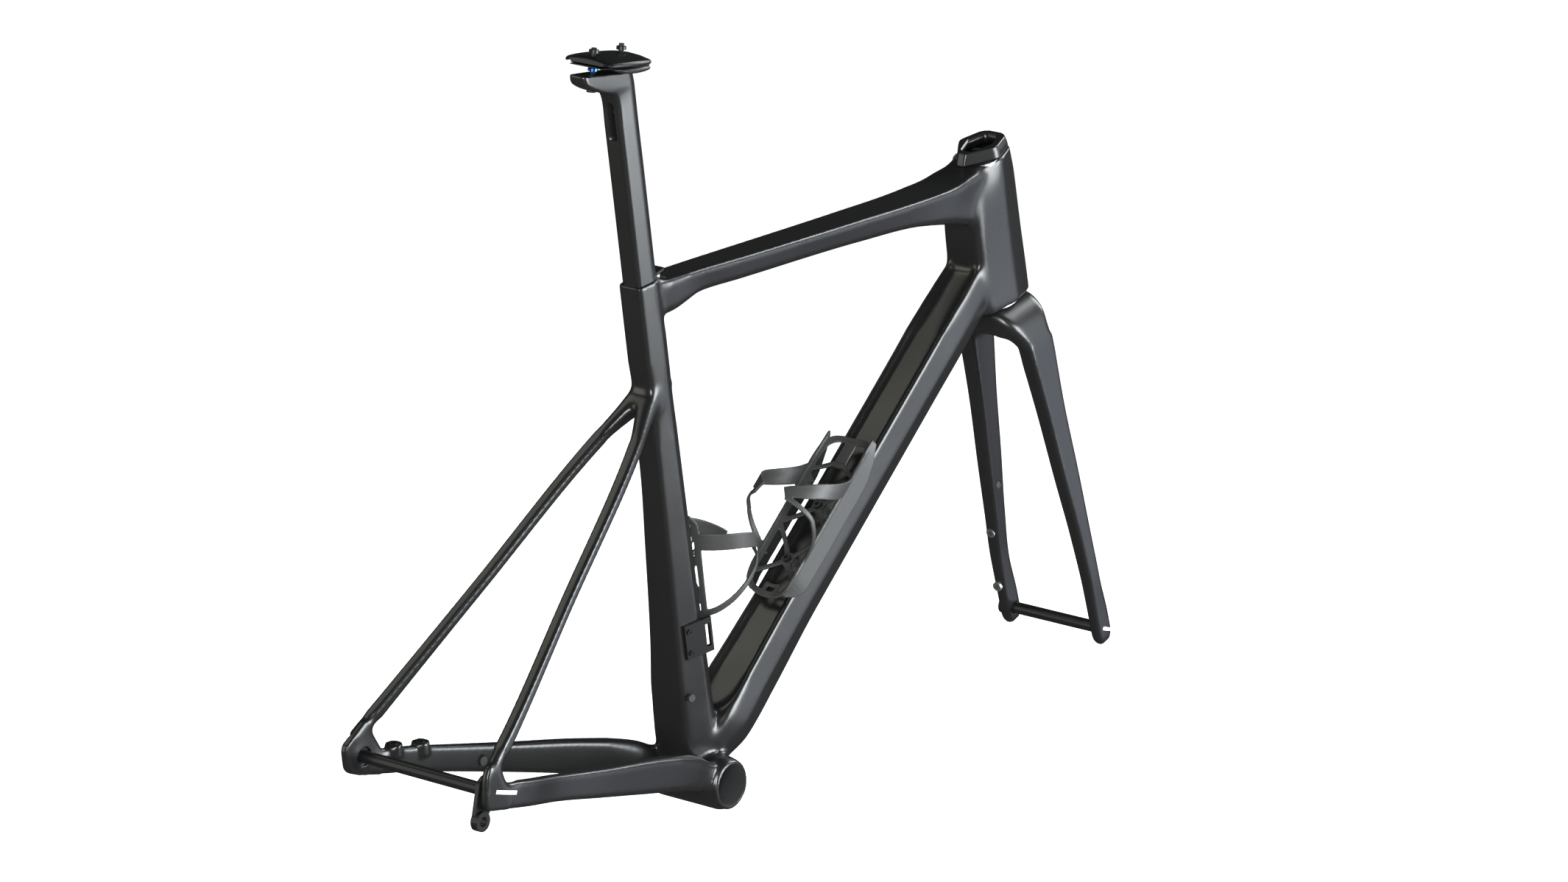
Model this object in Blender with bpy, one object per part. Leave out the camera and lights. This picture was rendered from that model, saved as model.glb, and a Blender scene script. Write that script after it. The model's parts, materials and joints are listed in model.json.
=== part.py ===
"""Bicycle frame set: carbon frame, fork, headset, seatpost with saddle clamp, axles and bottle cages.

World frame in metres: origin at the centre of the bottom bracket, +X forward, +Y to the rider's left,
+Z up. The code below works in millimetres, and make_object scales to metres.
"""

from math import asin, atan2, cos, hypot, pi, radians, sin, tan

import bmesh
import bpy
from mathutils import Matrix, Vector

# ---------------------------------------------------------------- driving dimensions (millimetres)
MM = 0.001
GAP = 0.3                       # clearance kept between neighbouring solids
WALL = 2.0                      # laminate thickness of the frame tubes

SEAT_ANGLE = radians(74.15)
HEAD_ANGLE = radians(72.4)
REAR_AXLE = Vector((-405.0, 0.0, 69.0))
FRONT_AXLE = Vector((582.0, 0.0, 69.0))
FORK_RAKE = 45.0
REAR_SPACING = 142.0            # between the inner faces of the rear dropouts
FRONT_SPACING = 100.0           # between the inner faces of the fork dropouts
AXLE_DIAMETER = 12.0
SHELL_WIDTH = 86.5              # press-fit bottom bracket shell
SHELL_BORE = 41.0
SHELL_DIAMETER = 48.0

SEAT_UP = Vector((-cos(SEAT_ANGLE), 0.0, sin(SEAT_ANGLE)))
SEAT_FORWARD = Vector((sin(SEAT_ANGLE), 0.0, cos(SEAT_ANGLE)))
STEER_UP = Vector((-cos(HEAD_ANGLE), 0.0, sin(HEAD_ANGLE)))
STEER_FORWARD = Vector((sin(HEAD_ANGLE), 0.0, cos(HEAD_ANGLE)))
STEER_FOOT = FRONT_AXLE - FORK_RAKE * STEER_FORWARD      # nearest point of the steering axis to the axle
LEFT = Vector((0.0, 1.0, 0.0))
UP = Vector((0.0, 0.0, 1.0))
AHEAD = Vector((1.0, 0.0, 0.0))

HEAD_BOTTOM = 376.0             # along the steering axis from STEER_FOOT
HEAD_TOP = 530.0
COVER_HEIGHT = 12.0
COLLAR = 512.0                  # top of the seat tube, along the seat axis from the bottom bracket
POST_BOTTOM = 392.0
STEERER_RADIUS = 14.3


# ---------------------------------------------------------------- materials
def material(name, colour, roughness, metallic=0.0):
    """A Principled BSDF with one colour, roughness and metallic value."""
    made = bpy.data.materials.new(name)
    made.use_nodes = True
    shader = made.node_tree.nodes["Principled BSDF"]
    shader.inputs["Base Color"].default_value = (*colour, 1.0)
    shader.inputs["Roughness"].default_value = roughness
    shader.inputs["Metallic"].default_value = metallic
    return made


# ---------------------------------------------------------------- outlines and stations
def rounded(corners, steps=2):
    """A closed outline through rounded corners (u, v, radius), as a list of (u, v)."""
    outline = []
    count = len(corners)
    for index, (u, v, radius) in enumerate(corners):
        here = Vector((u, v))
        before = (Vector(corners[index - 1][:2]) - here).normalized()
        after = (Vector(corners[(index + 1) % count][:2]) - here).normalized()
        half = before.angle(after) / 2
        centre = here + (before + after).normalized() * (radius / sin(half))
        first = here + before * (radius / tan(half)) - centre
        last = here + after * (radius / tan(half)) - centre
        start = atan2(first.y, first.x)
        sweep = (atan2(last.y, last.x) - start + pi) % (2 * pi) - pi
        for step in range(steps + 1):
            angle = start + sweep * step / steps
            outline.append((centre.x + radius * cos(angle), centre.y + radius * sin(angle)))
    return outline


def shield(rear, front, rear_half, wide, lean=0.0):
    """A seat tube section: flat at the back, widest ahead of the middle, with a round nose.

    rear and front are distances from the axis; lean widens the left side by that much.
    """
    waist = front - wide * 0.85
    return [
        (-rear, rear_half + lean, 5.0),
        (waist, wide + lean * 0.5, 6.0),
        (front, wide * 0.62, wide * 0.50),
        (front, -wide * 0.62, wide * 0.50),
        (waist, -wide, 6.0),
        (-rear, -rear_half, 5.0),
    ]


def box_section(up, down, top_half, bottom_half, top_radius, bottom_radius):
    """A four-cornered section that reaches up and down from its axis."""
    return [
        (up, top_half, top_radius),
        (up, -top_half, top_radius),
        (-down, -bottom_half, bottom_radius),
        (-down, bottom_half, bottom_radius),
    ]


def station(centre, forward, side, corners, steps=2):
    """One cross-section in space: u runs along forward and v along side."""
    return [Vector(centre) + forward * u + side * v for u, v in rounded(corners, steps)]


def circle(centre, forward, side, radius, count):
    """A round ring of count points."""
    turn = 2 * pi / count
    return [
        Vector(centre) + (forward * cos(k * turn) + side * sin(k * turn)) * radius
        for k in range(count)
    ]


# ---------------------------------------------------------------- solids
def make_object(name, points, faces, look, smooth=30):
    """A named object from points in millimetres, with its faces turned outward."""
    mesh = bpy.data.meshes.new(name)
    mesh.from_pydata([tuple(point * MM) for point in points], [], faces)
    work = bmesh.new()
    work.from_mesh(mesh)
    bmesh.ops.recalc_face_normals(work, faces=work.faces)
    work.to_mesh(mesh)
    work.free()
    mesh.shade_smooth()
    mesh.set_sharp_from_angle(angle=radians(smooth))
    mesh.materials.append(look)
    made = bpy.data.objects.new(name, mesh)
    bpy.context.collection.objects.link(made)
    return made


def band(first, second, count):
    """The quads between two rings of count points that start at those indices."""
    return [
        (first + k, first + (k + 1) % count, second + (k + 1) % count, second + k)
        for k in range(count)
    ]


def loft(name, rings, look):
    """A solid through the rings, closed by a face at each end."""
    count = len(rings[0])
    faces = [tuple(range(count)), tuple(range((len(rings) - 1) * count, len(rings) * count))]
    for index in range(len(rings) - 1):
        faces += band(index * count, (index + 1) * count, count)
    return make_object(name, [point for ring in rings for point in ring], faces, look)


def tube(name, outer, inner, look):
    """A hollow tube between two sets of rings, open at both ends."""
    count = len(outer[0])
    loops = outer + inner[::-1]
    faces = []
    for index in range(len(loops)):
        faces += band(index * count, (index + 1) % len(loops) * count, count)
    return make_object(name, [point for ring in loops for point in ring], faces, look)


def turned(name, base, axis, profile, look, count=24):
    """A solid of revolution about the axis through base: profile is a closed list of (radius, height).

    A profile that starts and ends on radius 0 makes a solid end; otherwise the solid is a ring.
    """
    axis = axis.normalized()
    forward = axis.orthogonal().normalized()
    side = axis.cross(forward)
    solid = profile[0][0] == 0 and profile[-1][0] == 0
    heights = profile[1:-1] if solid else profile
    rings = [circle(base + axis * height, forward, side, radius, count) for radius, height in heights]
    points = [point for ring in rings for point in ring]
    faces = []
    for index in range(len(rings) - 1):
        faces += band(index * count, (index + 1) * count, count)
    if solid:
        faces += [tuple(range(count)), tuple(range((len(rings) - 1) * count, len(rings) * count))]
    else:
        faces += band((len(rings) - 1) * count, 0, count)
    return make_object(name, points, faces, look)


def hidden(cutter):
    """Marks a helper that only cuts other objects."""
    cutter.hide_render = True
    cutter.display_type = "WIRE"
    return cutter


def cut(target, cutter, operation="DIFFERENCE"):
    """Adds an exact Boolean to target."""
    modifier = target.modifiers.new(operation.title(), "BOOLEAN")
    modifier.operation = operation
    modifier.solver = "EXACT"
    modifier.object = cutter
    return target


def join(target, other):
    """Unites target with a helper solid."""
    return cut(target, hidden(other), "UNION")


def drill(target, name, base, axis, radius, depth, look, count=20):
    """Cuts a round hole that starts at base and runs along the axis."""
    profile = [(0, 0), (radius, 0), (radius, depth), (0, depth)]
    return cut(target, hidden(turned(name, base, axis, profile, look, count)))


def block(name, centre, axes, sizes, look):
    """A box about centre whose edges run along the three axes, with full sizes in millimetres."""
    halves = [Vector(axis).normalized() * size / 2 for axis, size in zip(axes, sizes)]
    rings = []
    for end in (-1, 1):
        middle = Vector(centre) + halves[0] * end
        corners = ((-1, -1), (1, -1), (1, 1), (-1, 1))
        rings.append([middle + halves[1] * a + halves[2] * b for a, b in corners])
    return loft(name, rings, look)


def plate(name, outline, inner, outer, look):
    """A flat plate with an (x, z) outline between two y values."""
    rings = [[Vector((x, y, z)) for x, z in outline] for y in (inner, outer)]
    return loft(name, rings, look)


def belt_outline(first, first_radius, second, second_radius, steps=12):
    """The outline of a belt round two discs."""
    line = second - first
    facing = atan2(line.z, line.x)
    swing = pi / 2 - asin((second_radius - first_radius) / line.length)
    outline = []
    for centre, radius, start, sweep in (
        (first, first_radius, facing + swing, 2 * (pi - swing)),
        (second, second_radius, facing - swing, 2 * swing),
    ):
        for step in range(steps + 1):
            angle = start + sweep * step / steps
            outline.append((centre.x + radius * cos(angle), centre.z + radius * sin(angle)))
    return outline


def bolt(name, base, axis, shank, length, head, head_height, look, count=12):
    """A socket-head bolt: its head starts at base and its shank runs along the axis."""
    socket = head * 0.45
    profile = [
        (0, head_height * 0.6), (socket, head_height * 0.6), (socket, 0), (head, 0), (head, head_height),
        (shank, head_height), (shank, length), (0, length),
    ]
    return turned(name, base, axis, profile, look, count)


def grommet(name, wall, place, axis, radius, rubber):
    """A rubber plug with a lip in a drilled hole; axis points out of the wall."""
    drill(wall, f"{name}_hole", place - axis * 7, axis, radius + GAP, 10, rubber, 16)
    profile = [(0, -4.0), (radius, -4.0), (radius, -0.6), (0, -0.6)]
    turned(name, place, axis, profile, rubber, 16)


# ---------------------------------------------------------------- places on the frame
def on_seat(s, u=0.0, v=0.0):
    """A point s along the seat axis, u ahead of it and v to the left."""
    return SEAT_UP * s + SEAT_FORWARD * u + LEFT * v


def on_steer(t, u=0.0, v=0.0):
    """A point t along the steering axis, u ahead of it and v to the left."""
    return STEER_FOOT + STEER_UP * t + STEER_FORWARD * u + LEFT * v


def seat_station(s, corners, steps=2):
    return station(on_seat(s), SEAT_FORWARD, LEFT, corners, steps)


def steer_station(t, corners, steps=2):
    return station(on_steer(t), STEER_FORWARD, LEFT, corners, steps)


def mirrored(ring, side):
    """The ring on the left side (+1) or mirrored to the right side (-1)."""
    return [Vector((point.x, point.y * side, point.z)) for point in ring]


def leaning_station(centre, along, corners, side=1, steps=2):
    """A section square to a tube that runs along a slanting line: u is up and v outward."""
    along = Vector(along).normalized()
    across = (LEFT - along * LEFT.dot(along)).normalized()
    upward = along.cross(across).normalized()
    if upward.z < 0:
        upward = -upward
    return mirrored(station(centre, upward, across, corners, steps), side)


# Down tube: distance along the line from its foot, section height and half widths
DOWN_FOOT = Vector((5.0, 0.0, 22.0))
DOWN_TOP = Vector((408.0, 0.0, 458.0))
DOWN_ALONG = (DOWN_TOP - DOWN_FOOT).normalized()
DOWN_UP = Vector((-DOWN_ALONG.z, 0.0, DOWN_ALONG.x))
CHANNEL_DEPTH = 5.0


def down_section(up, down, half, ridge=6.0, channel=CHANNEL_DEPTH):
    """The down tube: a channel along its top, flat sides and a deep round underside."""
    floor = half - ridge - 3.0
    return [
        (up, half, 3.0),
        (up, half - ridge, 1.5),
        (up - channel, floor, 1.5),
        (up - channel, -floor, 1.5),
        (up, -half + ridge, 1.5),
        (up, -half, 3.0),
        (-down, -half + 5.0, 15.0),
        (-down, half - 5.0, 15.0),
    ]


def on_down(s, n=0.0, v=0.0):
    """A point s along the down tube from its foot, n above its middle and v to the left."""
    return DOWN_FOOT + DOWN_ALONG * s + DOWN_UP * n + LEFT * v


# ---------------------------------------------------------------- frame
def post_corners(clearance=0.0):
    """The post section: flat back and round nose, 30 deep and 26 wide."""
    return shield(14.5 + clearance, 15.5 + clearance, 10.5 + clearance, 13.0 + clearance)


def post_rings(low, high, clearance=0.0):
    """Two rings of the straight part of the post."""
    return [seat_station(s, post_corners(clearance)) for s in (low, high)]


def seat_tube_rings(clearance=0.0, highest=COLLAR):
    """Sections of the seat tube from the bottom bracket up; clearance grows them for use as a cutter."""
    table = [
        # s, rear, front, rear half width, half width, lean of the left side
        (6.0, 19.0, 20.0, 12.0, 19.0, 4.0),
        (45.0, 25.0, 25.0, 13.0, 21.0, 15.0),
        (90.0, 23.0, 24.0, 13.0, 20.0, 14.0),
        (150.0, 21.0, 22.0, 13.0, 19.0, 9.0),
        (240.0, 19.0, 20.0, 13.0, 18.0, 4.0),
        (330.0, 17.5, 19.0, 13.0, 17.0, 0.0),
        (420.0, 17.0, 18.5, 13.0, 16.0, 0.0),
        (COLLAR, 17.0, 18.5, 13.0, 16.0, 0.0),
    ]
    rings = []
    for s, rear, front, rear_half, wide, lean in table:
        if s > highest:
            continue
        corners = shield(
            rear + clearance, front + clearance, rear_half + clearance, wide + clearance, lean=lean
        )
        rings.append(seat_station(s, corners))
    return rings


DOWN_TABLE = [
    # s, reach above the middle, reach below it, half width
    (12.0, 22.0, 20.0, 22.0),
    (40.0, 27.0, 27.0, 28.0),
    (95.0, 25.5, 29.0, 25.0),
    (190.0, 25.0, 26.5, 23.0),
    (430.0, 25.0, 25.5, 23.0),
    (520.0, 26.0, 25.0, 23.5),
    (585.0, 24.0, 23.0, 21.0),
]


def down_tube_rings():
    """Sections of the down tube from the bottom bracket up."""
    return [
        station(on_down(s), DOWN_UP, LEFT, down_section(up, down, half))
        for s, up, down, half in DOWN_TABLE
    ]


def down_hollow_rings():
    """The plain hollow of the down tube, under the channel and between the flat sides."""
    rings = []
    for s, up, down, half in DOWN_TABLE:
        roof = up - CHANNEL_DEPTH - WALL
        corners = box_section(roof, down - WALL, half - WALL, half - 5.0 - WALL, 3.0, 13.0)
        rings.append(station(on_down(s + (s > 500) * 4 - (s < 20) * 14), DOWN_UP, LEFT, corners))
    return rings


def top_tube_rings(clearance=0.0):
    """Sections of the top tube from the seat tube forward, on upright planes."""
    table = [
        # x, top, bottom, half width at the top and at the bottom
        (-132.0, 491.5, 462.0, 13.5, 11.0),
        (-108.0, 494.5, 458.0, 16.5, 12.0),
        (-60.0, 499.5, 475.0, 18.0, 13.0),
        (0.0, 505.0, 481.0, 19.5, 14.5),
        (180.0, 522.5, 497.5, 22.0, 16.0),
        (270.0, 532.0, 503.0, 23.5, 17.5),
        (320.0, 540.0, 500.0, 24.5, 18.5),
        (348.0, 548.5, 497.0, 23.5, 18.5),
        (372.0, 553.0, 494.0, 21.5, 18.0),
    ]
    rings = []
    for x, top, bottom, top_half, bottom_half in table:
        middle = (top + bottom) / 2
        half = (top - bottom) / 2 + clearance
        corners = box_section(half, half, top_half + clearance, bottom_half + clearance, 4.0, 8.0)
        rings.append(station((x, 0.0, middle), UP, LEFT, corners))
    return rings


def head_tube_rings(clearance=0.0):
    """Sections of the head tube up the steering axis: deep ahead of the steerer, narrow at the sides."""
    table = [
        # t, reach ahead, reach behind, half width, half width at the rear
        (HEAD_BOTTOM, 41.5, 36.0, 28.5, 24.5),
        (400.0, 42.0, 40.0, 27.5, 23.6),
        (450.0, 41.0, 40.0, 26.5, 22.8),
        (500.0, 40.0, 36.0, 26.5, 21.5),
        (HEAD_TOP, 36.5, 29.5, 26.5, 15.0),
    ]
    rings = []
    for t, ahead, behind, half, rear_half in table:
        ahead += clearance
        behind += clearance
        half += clearance
        rear_half += clearance
        corners = [
            (ahead, half * 0.62, 13.0),
            (ahead, -half * 0.62, 13.0),
            (6.0, -half, 12.0),
            (-behind, -rear_half, 8.0),
            (-behind, rear_half, 8.0),
            (6.0, half, 12.0),
        ]
        rings.append(steer_station(t, corners))
    return rings


def shell_profile(clearance=0.0, bore=None):
    """Profile of the bottom bracket shell across the frame, swollen where the tubes meet it."""
    end = SHELL_WIDTH / 2
    radius = SHELL_DIAMETER / 2 + clearance
    swell = 26.5 + clearance
    outer = [
        (radius, -end), (radius, 4 - end), (swell, -34.0), (swell, 34.0), (radius, end - 4), (radius, end),
    ]
    if bore is None:
        return [(0, -end), *outer, (0, end)]
    return [(bore, -end), *outer, (bore, end)]


def chainstay_rings(side, clearance=0.0):
    """Sections of one chainstay from its dropout forward."""
    table = [
        # x, y, z of the middle, half height, half width
        (-386.0, 74.0, 61.0, 11.5, 5.0),
        (-340.0, 69.5, 57.0, 12.0, 5.5),
        (-300.0, 65.5, 52.0, 12.5, 6.0),
        (-217.0, 56.0, 41.5, 14.0, 7.0),
        (-125.0, 43.5, 30.0, 16.5, 8.5),
        (-60.0, 34.5, 20.0, 17.0, 9.5),
        (-20.0, 29.0, 8.0, 14.0, 8.0),
    ]
    rings = []
    for index, (x, y, z, tall, wide) in enumerate(table):
        ahead = table[min(index + 1, len(table) - 1)]
        behind = table[max(index - 1, 0)]
        along = Vector(ahead[:3]) - Vector(behind[:3])
        tall += clearance
        wide += clearance
        corner = 0.6 * wide
        corners = box_section(tall, tall, wide - 0.5, wide, corner, corner)
        rings.append(leaning_station((x, y, z), along, corners, side))
    return rings


STAY_TOP = Vector((-156.1, 21.3, 343.0))
STAY_FOOT = Vector((-410.0, 80.5, 84.0))


def seatstay_rings(side):
    """Sections of one seatstay from its dropout up to the yoke."""
    along = STAY_TOP - STAY_FOOT
    table = [(0.0, 7.0, 5.7), (0.12, 5.7, 5.7), (0.5, 4.8, 5.7), (0.88, 4.7, 5.7), (1.0, 5.2, 6.2)]
    return [
        leaning_station(STAY_FOOT + along * part, along, box_section(deep, deep, wide, wide, 2.5, 2.5), side)
        for part, deep, wide in table
    ]


def yoke_rings(side):
    """Sections of one arm of the wishbone yoke, from the seat tube back and down to its seatstay."""
    along = (STAY_TOP - STAY_FOOT).normalized()
    end = STAY_TOP + along * GAP
    table = [
        # x, y, z of the middle, half height, half width
        (-104.0, 4.0, 395.0, 10.0, 8.0),
        (-121.7, 6.5, 378.0, 9.5, 9.5),
        (-139.4, 13.8, 360.0, 7.5, 8.0),
        (end.x, end.y, end.z, 5.2, 6.2),
    ]
    rings = []
    for index, (x, y, z, tall, wide) in enumerate(table):
        behind = table[min(index + 1, len(table) - 1)]
        ahead = table[index - 1] if index > 0 else table[0]
        run = Vector(ahead[:3]) - Vector(behind[:3]) if behind != table[index] else along
        rings.append(leaning_station((x, y, z), run, box_section(tall, tall, wide, wide, 2.5, 2.5), side))
    return rings


def build_frame(carbon):
    """The bonded carbon sections of the frame, each a separate solid with a fine joint line between."""
    turned("bottom_bracket_shell", Vector(), LEFT, shell_profile(bore=SHELL_BORE / 2), carbon, 32)

    shell_cutter = hidden(turned("shell_cutter", Vector(), LEFT, shell_profile(GAP), carbon, 32))
    seat_cutter = hidden(loft("seat_cutter", seat_tube_rings(2 * GAP), carbon))
    head_cutter = hidden(loft("head_cutter", head_tube_rings(GAP), carbon))

    seat = loft("seat_tube", seat_tube_rings(), carbon)
    cut(seat, hidden(loft("seat_hollow", seat_tube_rings(-WALL, highest=330.0), carbon)))
    cut(seat, hidden(loft("post_bore", post_rings(300.0, COLLAR + 5, GAP), carbon)))
    cut(seat, shell_cutter)

    head = loft("head_tube", head_tube_rings(), carbon)
    bore = [
        (0, -1.0), (26.3, -1.0), (26.3, 9.5), (21.0, 11.0),
        (21.0, 144.0), (23.8, 146.0), (23.8, 155.0), (0, 155.0),
    ]
    cut(head, hidden(turned("head_bore", on_steer(HEAD_BOTTOM), STEER_UP, bore, carbon, 28)))

    top = tube("top_tube", top_tube_rings(), top_tube_rings(-WALL), carbon)
    cut(top, seat_cutter)
    cut(top, head_cutter)

    down = loft("down_tube", down_tube_rings(), carbon)
    cut(down, hidden(loft("down_hollow", down_hollow_rings(), carbon)))
    cut(down, head_cutter)
    cut(down, shell_cutter)
    cut(down, seat_cutter)

    yoke = loft("seatstay_yoke", yoke_rings(1), carbon)
    join(yoke, loft("yoke_right_arm", yoke_rings(-1), carbon))
    cut(yoke, seat_cutter)
    return seat, top, down, shell_cutter, seat_cutter


# ---------------------------------------------------------------- rear dropouts, hanger and axle
HANGER_EYE = Vector((-413.7, 0.0, 42.6))
INSERT_RADIUS = 8.0
LEFT_DROPOUT = (Vector((-412.5, 0.0, 72.0)), 18.5, Vector((-393.0, 0.0, 65.0)), 14.5)    # lobe and nose
RIGHT_DROPOUT = (Vector((-400.0, 0.0, 69.0)), 16.0, Vector((-405.5, 0.0, 83.0)), 13.5)
AXLE_HOLE = AXLE_DIAMETER / 2 + GAP


def dropout_outline(lobes, clearance=0.0):
    """The belt round the two lobes of a dropout plate."""
    first, first_radius, second, second_radius = lobes
    return belt_outline(first, first_radius + clearance, second, second_radius + clearance)


def build_rear(carbon, black, steel, shell_cutter, seat_cutter):
    """Chainstays, seatstays, dropouts, hanger and rear axle."""
    left_cutter = hidden(plate("left_drop_cutter", dropout_outline(LEFT_DROPOUT, GAP), 55, 95, carbon))
    right_cutter = hidden(plate("right_drop_cutter", dropout_outline(RIGHT_DROPOUT, GAP), -95, -55, carbon))
    for side, word, cutter in ((1, "left", left_cutter), (-1, "right", right_cutter)):
        stay = tube(f"chainstay_{word}", chainstay_rings(side), chainstay_rings(side, -1.6), carbon)
        cut(stay, shell_cutter)
        cut(stay, seat_cutter)
        cut(stay, cutter)
        cut(loft(f"seatstay_{word}", seatstay_rings(side), carbon), cutter)

    left = plate("dropout_left", dropout_outline(LEFT_DROPOUT), REAR_SPACING / 2, 79.0, carbon)
    drill(left, "left_axle_hole", REAR_AXLE, LEFT, AXLE_HOLE, 100, black)
    drill(left, "left_axle_recess", REAR_AXLE + LEFT * 75.5, LEFT, 9.3, 10, black)

    right = plate("dropout_right", dropout_outline(RIGHT_DROPOUT), -84.0, -75.3, carbon)
    drill(right, "right_insert_hole", REAR_AXLE, -LEFT, INSERT_RADIUS + GAP, 82.1, black)
    drill(right, "right_eye_relief", HANGER_EYE, -LEFT, 10.0, 100, black)

    hanger_inner = -REAR_SPACING / 2
    outline = belt_outline(REAR_AXLE, 15.5, HANGER_EYE, 9.0)
    hanger = plate("derailleur_hanger", outline, -75.0, hanger_inner, black)
    boss = [(0, 0.5), (9.5, 0.5), (9.5, 8), (0, 8)]
    eye = turned("hanger_eye_boss", HANGER_EYE + LEFT * hanger_inner, -LEFT, boss, black)
    join(hanger, eye)
    drill(hanger, "hanger_axle_hole", REAR_AXLE, -LEFT, AXLE_HOLE, 100, black)
    drill(hanger, "hanger_eye_hole", HANGER_EYE, -LEFT, 4.8, 100, black)
    screw_place = REAR_AXLE + Vector((3.0, 0.0, 11.2))
    drill(hanger, "hanger_screw_hole", screw_place, -LEFT, 1.8, 100, black, 12)
    drill(right, "dropout_screw_hole", screw_place, -LEFT, 1.8, 80, black, 12)
    bolt("hanger_bolt", screw_place + LEFT * (hanger_inner + 1.5), -LEFT, 1.5, 9.0, 2.8, 1.2, steel)

    insert = [(AXLE_HOLE, -81.8), (INSERT_RADIUS, -81.8), (INSERT_RADIUS, -75.4), (AXLE_HOLE, -75.4)]
    turned("rear_axle_insert", REAR_AXLE, LEFT, insert, steel)
    shank = AXLE_DIAMETER / 2
    axle = [(0, 78), (3.0, 78), (3.0, 80), (9, 80), (9, 75.8), (shank, 75.8), (shank, -81.6), (0, -81.6)]
    turned("rear_axle", REAR_AXLE, LEFT, axle, black)


# ---------------------------------------------------------------- seatpost
def spanned(rear, front, half_rear, half):
    """A post section from a rear point to a front point, both (x, z), for the set-back head."""
    rear = Vector((rear[0], 0.0, rear[1]))
    front = Vector((front[0], 0.0, front[1]))
    reach = (front - rear).length / 2
    forward = (front - rear).normalized()
    return station((rear + front) / 2, forward, LEFT, shield(reach, reach, half_rear, half))


CLAMP_FRONT = Vector((-191.0, 0.0, 0.0))
CLAMP_REAR = Vector((-230.5, 0.0, 0.0))
HEAD_FLAT = 692.0                 # top face of the post head
CLAMP_PIVOT = Vector((-208.0, 0.0, HEAD_FLAT + 0.3))


def build_post(carbon, black, steel, blue):
    """The seatpost with its set-back head, and the two-bolt saddle clamp on it."""
    rings = post_rings(POST_BOTTOM, 660.0)
    rings.append(spanned((-213.0, 663.0), (-171.5, 672.0), 10.5, 13.0))
    rings.append(spanned((-230.0, 674.5), (-175.0, 681.0), 10.5, 13.0))
    rings.append(spanned((-252.0, 683.0), (-179.0, 688.0), 10.0, 12.5))
    rings.append(spanned((-254.5, HEAD_FLAT), (-181.0, HEAD_FLAT), 9.0, 12.0))
    post = loft("seatpost", rings, carbon)
    cut(post, hidden(loft("post_hollow", post_rings(POST_BOTTOM - 5, 640.0, -2.5), carbon)))
    slot = block("post_slot", on_seat(670.0, -18.0), (SEAT_UP, SEAT_FORWARD, LEFT), (37.0, 48.0, 9.0), carbon)
    cut(post, hidden(slot))
    drill(post, "front_bolt_hole", CLAMP_FRONT + UP * 660, UP, 3.0, 60, black, 16)
    drill(post, "rear_bolt_hole", CLAMP_REAR + UP * 655, UP, 3.0, 60, black, 16)
    drill(post, "rear_bolt_seat", CLAMP_REAR + UP * 655, UP, 5.0, 25, black, 16)
    bolt("saddle_clamp_bolt_front", CLAMP_FRONT + UP * 652.5, UP, 2.5, 64.0, 4.1, 4.5, black)
    bolt("saddle_clamp_bolt_rear", CLAMP_REAR + UP * 675.0, UP, 2.5, 40.5, 4.4, 4.7, steel)

    # cradle: a shallow rocker that carries both rails, with a thin tail for the rear bolt
    cradle_profile = [
        (-240.0, 700.5), (-240.0, 698.9), (-224.0, 698.7), (-221.0, 694.6),
        (CLAMP_PIVOT.x, CLAMP_PIVOT.z),
        (-176.0, 695.4), (-174.0, 699.5), (-176.0, 700.5),
    ]
    cradle = plate("saddle_clamp_lower", cradle_profile, -26.0, 26.0, black)
    for side in (-1, 1):
        rail_bed = Vector((-300.0, side * 22.0, 700.6))
        drill(cradle, f"rail_bed{side}", rail_bed, AHEAD, 3.7, 200, black, 16)
    for word, place in (("front", CLAMP_FRONT), ("rear", CLAMP_REAR)):
        window = block(f"cradle_{word}_slot", place + UP * 697, (AHEAD, LEFT, UP), (9.0, 6.4, 20.0), black)
        cut(cradle, hidden(window))

    roof = [
        (-25.0, 700.9), (-25.0, 704.2), (-8.0, 708.2), (8.0, 708.2), (25.0, 704.2), (25.0, 700.9),
        (12.0, 703.4), (-12.0, 703.4),
    ]
    rings = [[Vector((x, y, z)) for y, z in roof] for x in (-238.0, -176.0)]
    clamp = loft("saddle_clamp_upper", rings, black)
    for side in (-1, 1):
        drill(clamp, f"rail_roof{side}", Vector((-300.0, side * 22.0, 700.6)), AHEAD, 3.7, 200, black, 16)
    for word, place in (("front", CLAMP_FRONT), ("rear", CLAMP_REAR)):
        window = block(f"roof_{word}_slot", place + UP * 705, (AHEAD, LEFT, UP), (9.0, 6.4, 20.0), black)
        cut(clamp, hidden(window))
    for word, place in (("front", CLAMP_FRONT), ("rear", CLAMP_REAR)):
        nut = [(2.7, 710.9), (4.6, 710.9), (4.6, 713.9), (2.7, 713.9)]
        turned(f"saddle_clamp_nut_{word}", place, UP, nut, black, 16)
    washer = [(2.7, 694.6), (4.6, 694.6), (4.6, 696.9), (2.7, 696.9)]
    turned("saddle_clamp_washer", CLAMP_REAR, UP, washer, blue, 16)


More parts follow.
